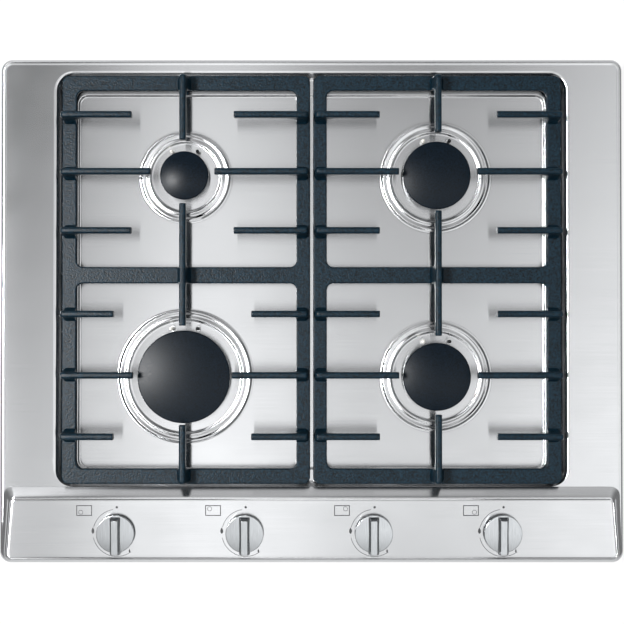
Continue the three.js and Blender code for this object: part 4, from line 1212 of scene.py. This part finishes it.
class COOKTOP_OT_stage(bpy.types.Operator):
    """Makes the floor, the soft light and the camera"""

    bl_idname = "cooktop.stage"
    bl_label = "Stage"

    def execute(self, context):
        settings = context.scene.cooktop_stage
        scene = context.scene
        signs = ((-1, -1), (1, -1), (1, 1), (-1, 1))
        corners = [(sx * FLOOR_REACH, sy * FLOOR_REACH, -0.3) for sx, sy in signs]
        floor = link_piece("floor", mesh_from("floor", corners, [(0, 1, 2, 3)]))
        paint, tree, shader = new_material("matt_floor", Roughness=0.9)
        shader.inputs["Base Color"].default_value = hex_color(settings.floor_color)
        path = add(tree, "ShaderNodeLightPath")
        seen = path.outputs["Is Camera Ray"]
        for ray in ("Is Glossy Ray", "Is Transmission Ray"):
            inputs = {0: seen, 1: path.outputs[ray]}
            seen = add(tree, "ShaderNodeMath", inputs, operation="MAXIMUM").outputs[0]
        share = add(tree, "ShaderNodeMath", {0: seen, 1: FLOOR_GLOW}, operation="MULTIPLY")
        glow = add(tree, "ShaderNodeEmission", {"Color": (1, 1, 1, 1), "Strength": 1.0})
        inputs = {0: share.outputs[0], 1: shader.outputs[0], 2: glow.outputs[0]}
        blend = add(tree, "ShaderNodeMixShader", inputs)
        tree.links.new(blend.outputs[0], tree.nodes["Material Output"].inputs["Surface"])
        floor.data.materials.append(paint)

        # A bright ceiling over dim walls, with a paler wall behind. It is uneven from side to
        # side and front to rear, because the brushed steel mirrors it.
        world = bpy.data.worlds.new("studio")
        scene.world = world
        world.use_nodes = True
        tree = world.node_tree
        tree.nodes.clear()
        place = add(tree, "ShaderNodeTexCoord")
        axes = add(tree, "ShaderNodeSeparateXYZ", {"Vector": place.outputs["Generated"]})
        inputs = {"Value": axes.outputs["X"], "From Min": -0.3, "From Max": 0.3}
        across = add(tree, "ShaderNodeMapRange", inputs)
        across = add(tree, "ShaderNodeValToRGB", {"Fac": across.outputs[0]})
        set_stops(across.color_ramp, settings.ceiling_across)
        inputs = {"Value": axes.outputs["Y"], "From Min": -0.5, "From Max": 0.5}
        along = add(tree, "ShaderNodeMapRange", inputs)
        along = add(tree, "ShaderNodeValToRGB", {"Fac": along.outputs[0]})
        set_stops(along.color_ramp, settings.ceiling_along)
        ceiling = add(tree, "ShaderNodeMath", {0: across.outputs[0], 1: along.outputs[0]}, operation="ADD")
        ceiling = add(tree, "ShaderNodeMath", {0: ceiling.outputs[0], 1: 0.5}, operation="SUBTRACT")
        inputs = {0: ceiling.outputs[0], 1: settings.ceiling_level}
        ceiling = add(tree, "ShaderNodeMath", inputs, operation="MULTIPLY")
        inputs = {"Value": axes.outputs["Z"], "From Min": 0.62, "From Max": 0.93}
        high = add(tree, "ShaderNodeMapRange", inputs, interpolation_type="SMOOTHSTEP")
        inputs = {"Value": axes.outputs["Y"], "From Min": 0.4, "From Max": 0.7}
        inputs.update({"To Min": settings.wall_level, "To Max": settings.rear_level})
        wall = add(tree, "ShaderNodeMapRange", inputs)
        inputs = {"Factor": high.outputs[0], 2: wall.outputs[0], 3: ceiling.outputs[0]}
        level = add(tree, "ShaderNodeMix", inputs)
        glow = add(tree, "ShaderNodeBackground", {"Color": (1, 1, 1, 1), "Strength": level.outputs[0]})
        plain = add(tree, "ShaderNodeBackground", {"Color": (1, 1, 1, 1), "Strength": 1.0})
        path = add(tree, "ShaderNodeLightPath")
        inputs = {0: path.outputs["Is Camera Ray"], 1: glow.outputs[0], 2: plain.outputs[0]}
        blend = add(tree, "ShaderNodeMixShader", inputs)
        add(tree, "ShaderNodeOutputWorld", {"Surface": blend.outputs[0]})

        lamps = (
            ("key_softbox", (-1.5, 0.05, 3.0), 0.6, 125.0),
            ("front_softbox", (0.1, -1.3, 0.9), 0.5, 1.5),
        )
        for name, spot, size, power in lamps:
            light = bpy.data.lights.new(name, "AREA")
            light.shape, light.size, light.energy = "SQUARE", size, power
            lamp = bpy.data.objects.new(name, light)
            lamp.location = spot
            lamp.rotation_euler = (Vector((0, 0, 0.06)) - Vector(spot)).to_track_quat("-Z", "Y").to_euler()
            scene.collection.objects.link(lamp)

        lens = bpy.data.cameras.new("camera")
        lens.sensor_width = 36
        lens.lens = 36 * settings.camera_height / settings.field
        lens.clip_end = 50
        camera = bpy.data.objects.new("camera", lens)
        lean = settings.camera_lean
        aim = Vector((0.0004, -0.0017, RIM_Z / 1000))
        camera.location = aim + settings.camera_height * Vector((0, -math.sin(lean), math.cos(lean)))
        camera.rotation_euler = (lean, 0, 0)
        scene.collection.objects.link(camera)
        scene.camera = camera
        scene.view_settings.view_transform = "Standard"
        return {"FINISHED"}


class COOKTOP_PT_panel(bpy.types.Panel):
    """Lists the steps that build the cooktop"""

    bl_idname = "COOKTOP_PT_panel"
    bl_label = "Gas cooktop"
    bl_space_type = "VIEW_3D"
    bl_region_type = "UI"
    bl_category = "Cooktop"

    def draw(self, context):
        groups = {
            "cooktop_stage": ("cooktop.stage",),
            "cooktop_top": ("cooktop.top", "cooktop.marks"),
            "cooktop_castings": ("cooktop.supports", "cooktop.burners"),
            "cooktop_knobs": ("cooktop.knobs", "cooktop.fittings"),
        }
        for group, steps in groups.items():
            box = self.layout.box()
            values = getattr(context.scene, group)
            for name in values.__annotations__:
                box.prop(values, name)
            for step in steps:
                box.operator(step)


GROUPS = {
    "cooktop_top": COOKTOP_PG_top,
    "cooktop_castings": COOKTOP_PG_castings,
    "cooktop_knobs": COOKTOP_PG_knobs,
    "cooktop_stage": COOKTOP_PG_stage,
}
CLASSES = (
    *GROUPS.values(),
    COOKTOP_OT_stage,
    COOKTOP_OT_top,
    COOKTOP_OT_marks,
    COOKTOP_OT_supports,
    COOKTOP_OT_burners,
    COOKTOP_OT_knobs,
    COOKTOP_OT_fittings,
    COOKTOP_PT_panel,
)


def register():
    for cls in CLASSES:
        bpy.utils.register_class(cls)
    for name, group in GROUPS.items():
        setattr(bpy.types.Scene, name, bpy.props.PointerProperty(type=group))


def unregister():
    for name in GROUPS:
        delattr(bpy.types.Scene, name)
    for cls in reversed(CLASSES):
        bpy.utils.unregister_class(cls)


def main():
    register()
    for step in ("stage", "top", "marks", "supports", "burners", "knobs", "fittings"):
        getattr(bpy.ops.cooktop, step)()


if __name__ == "__main__":
    main()
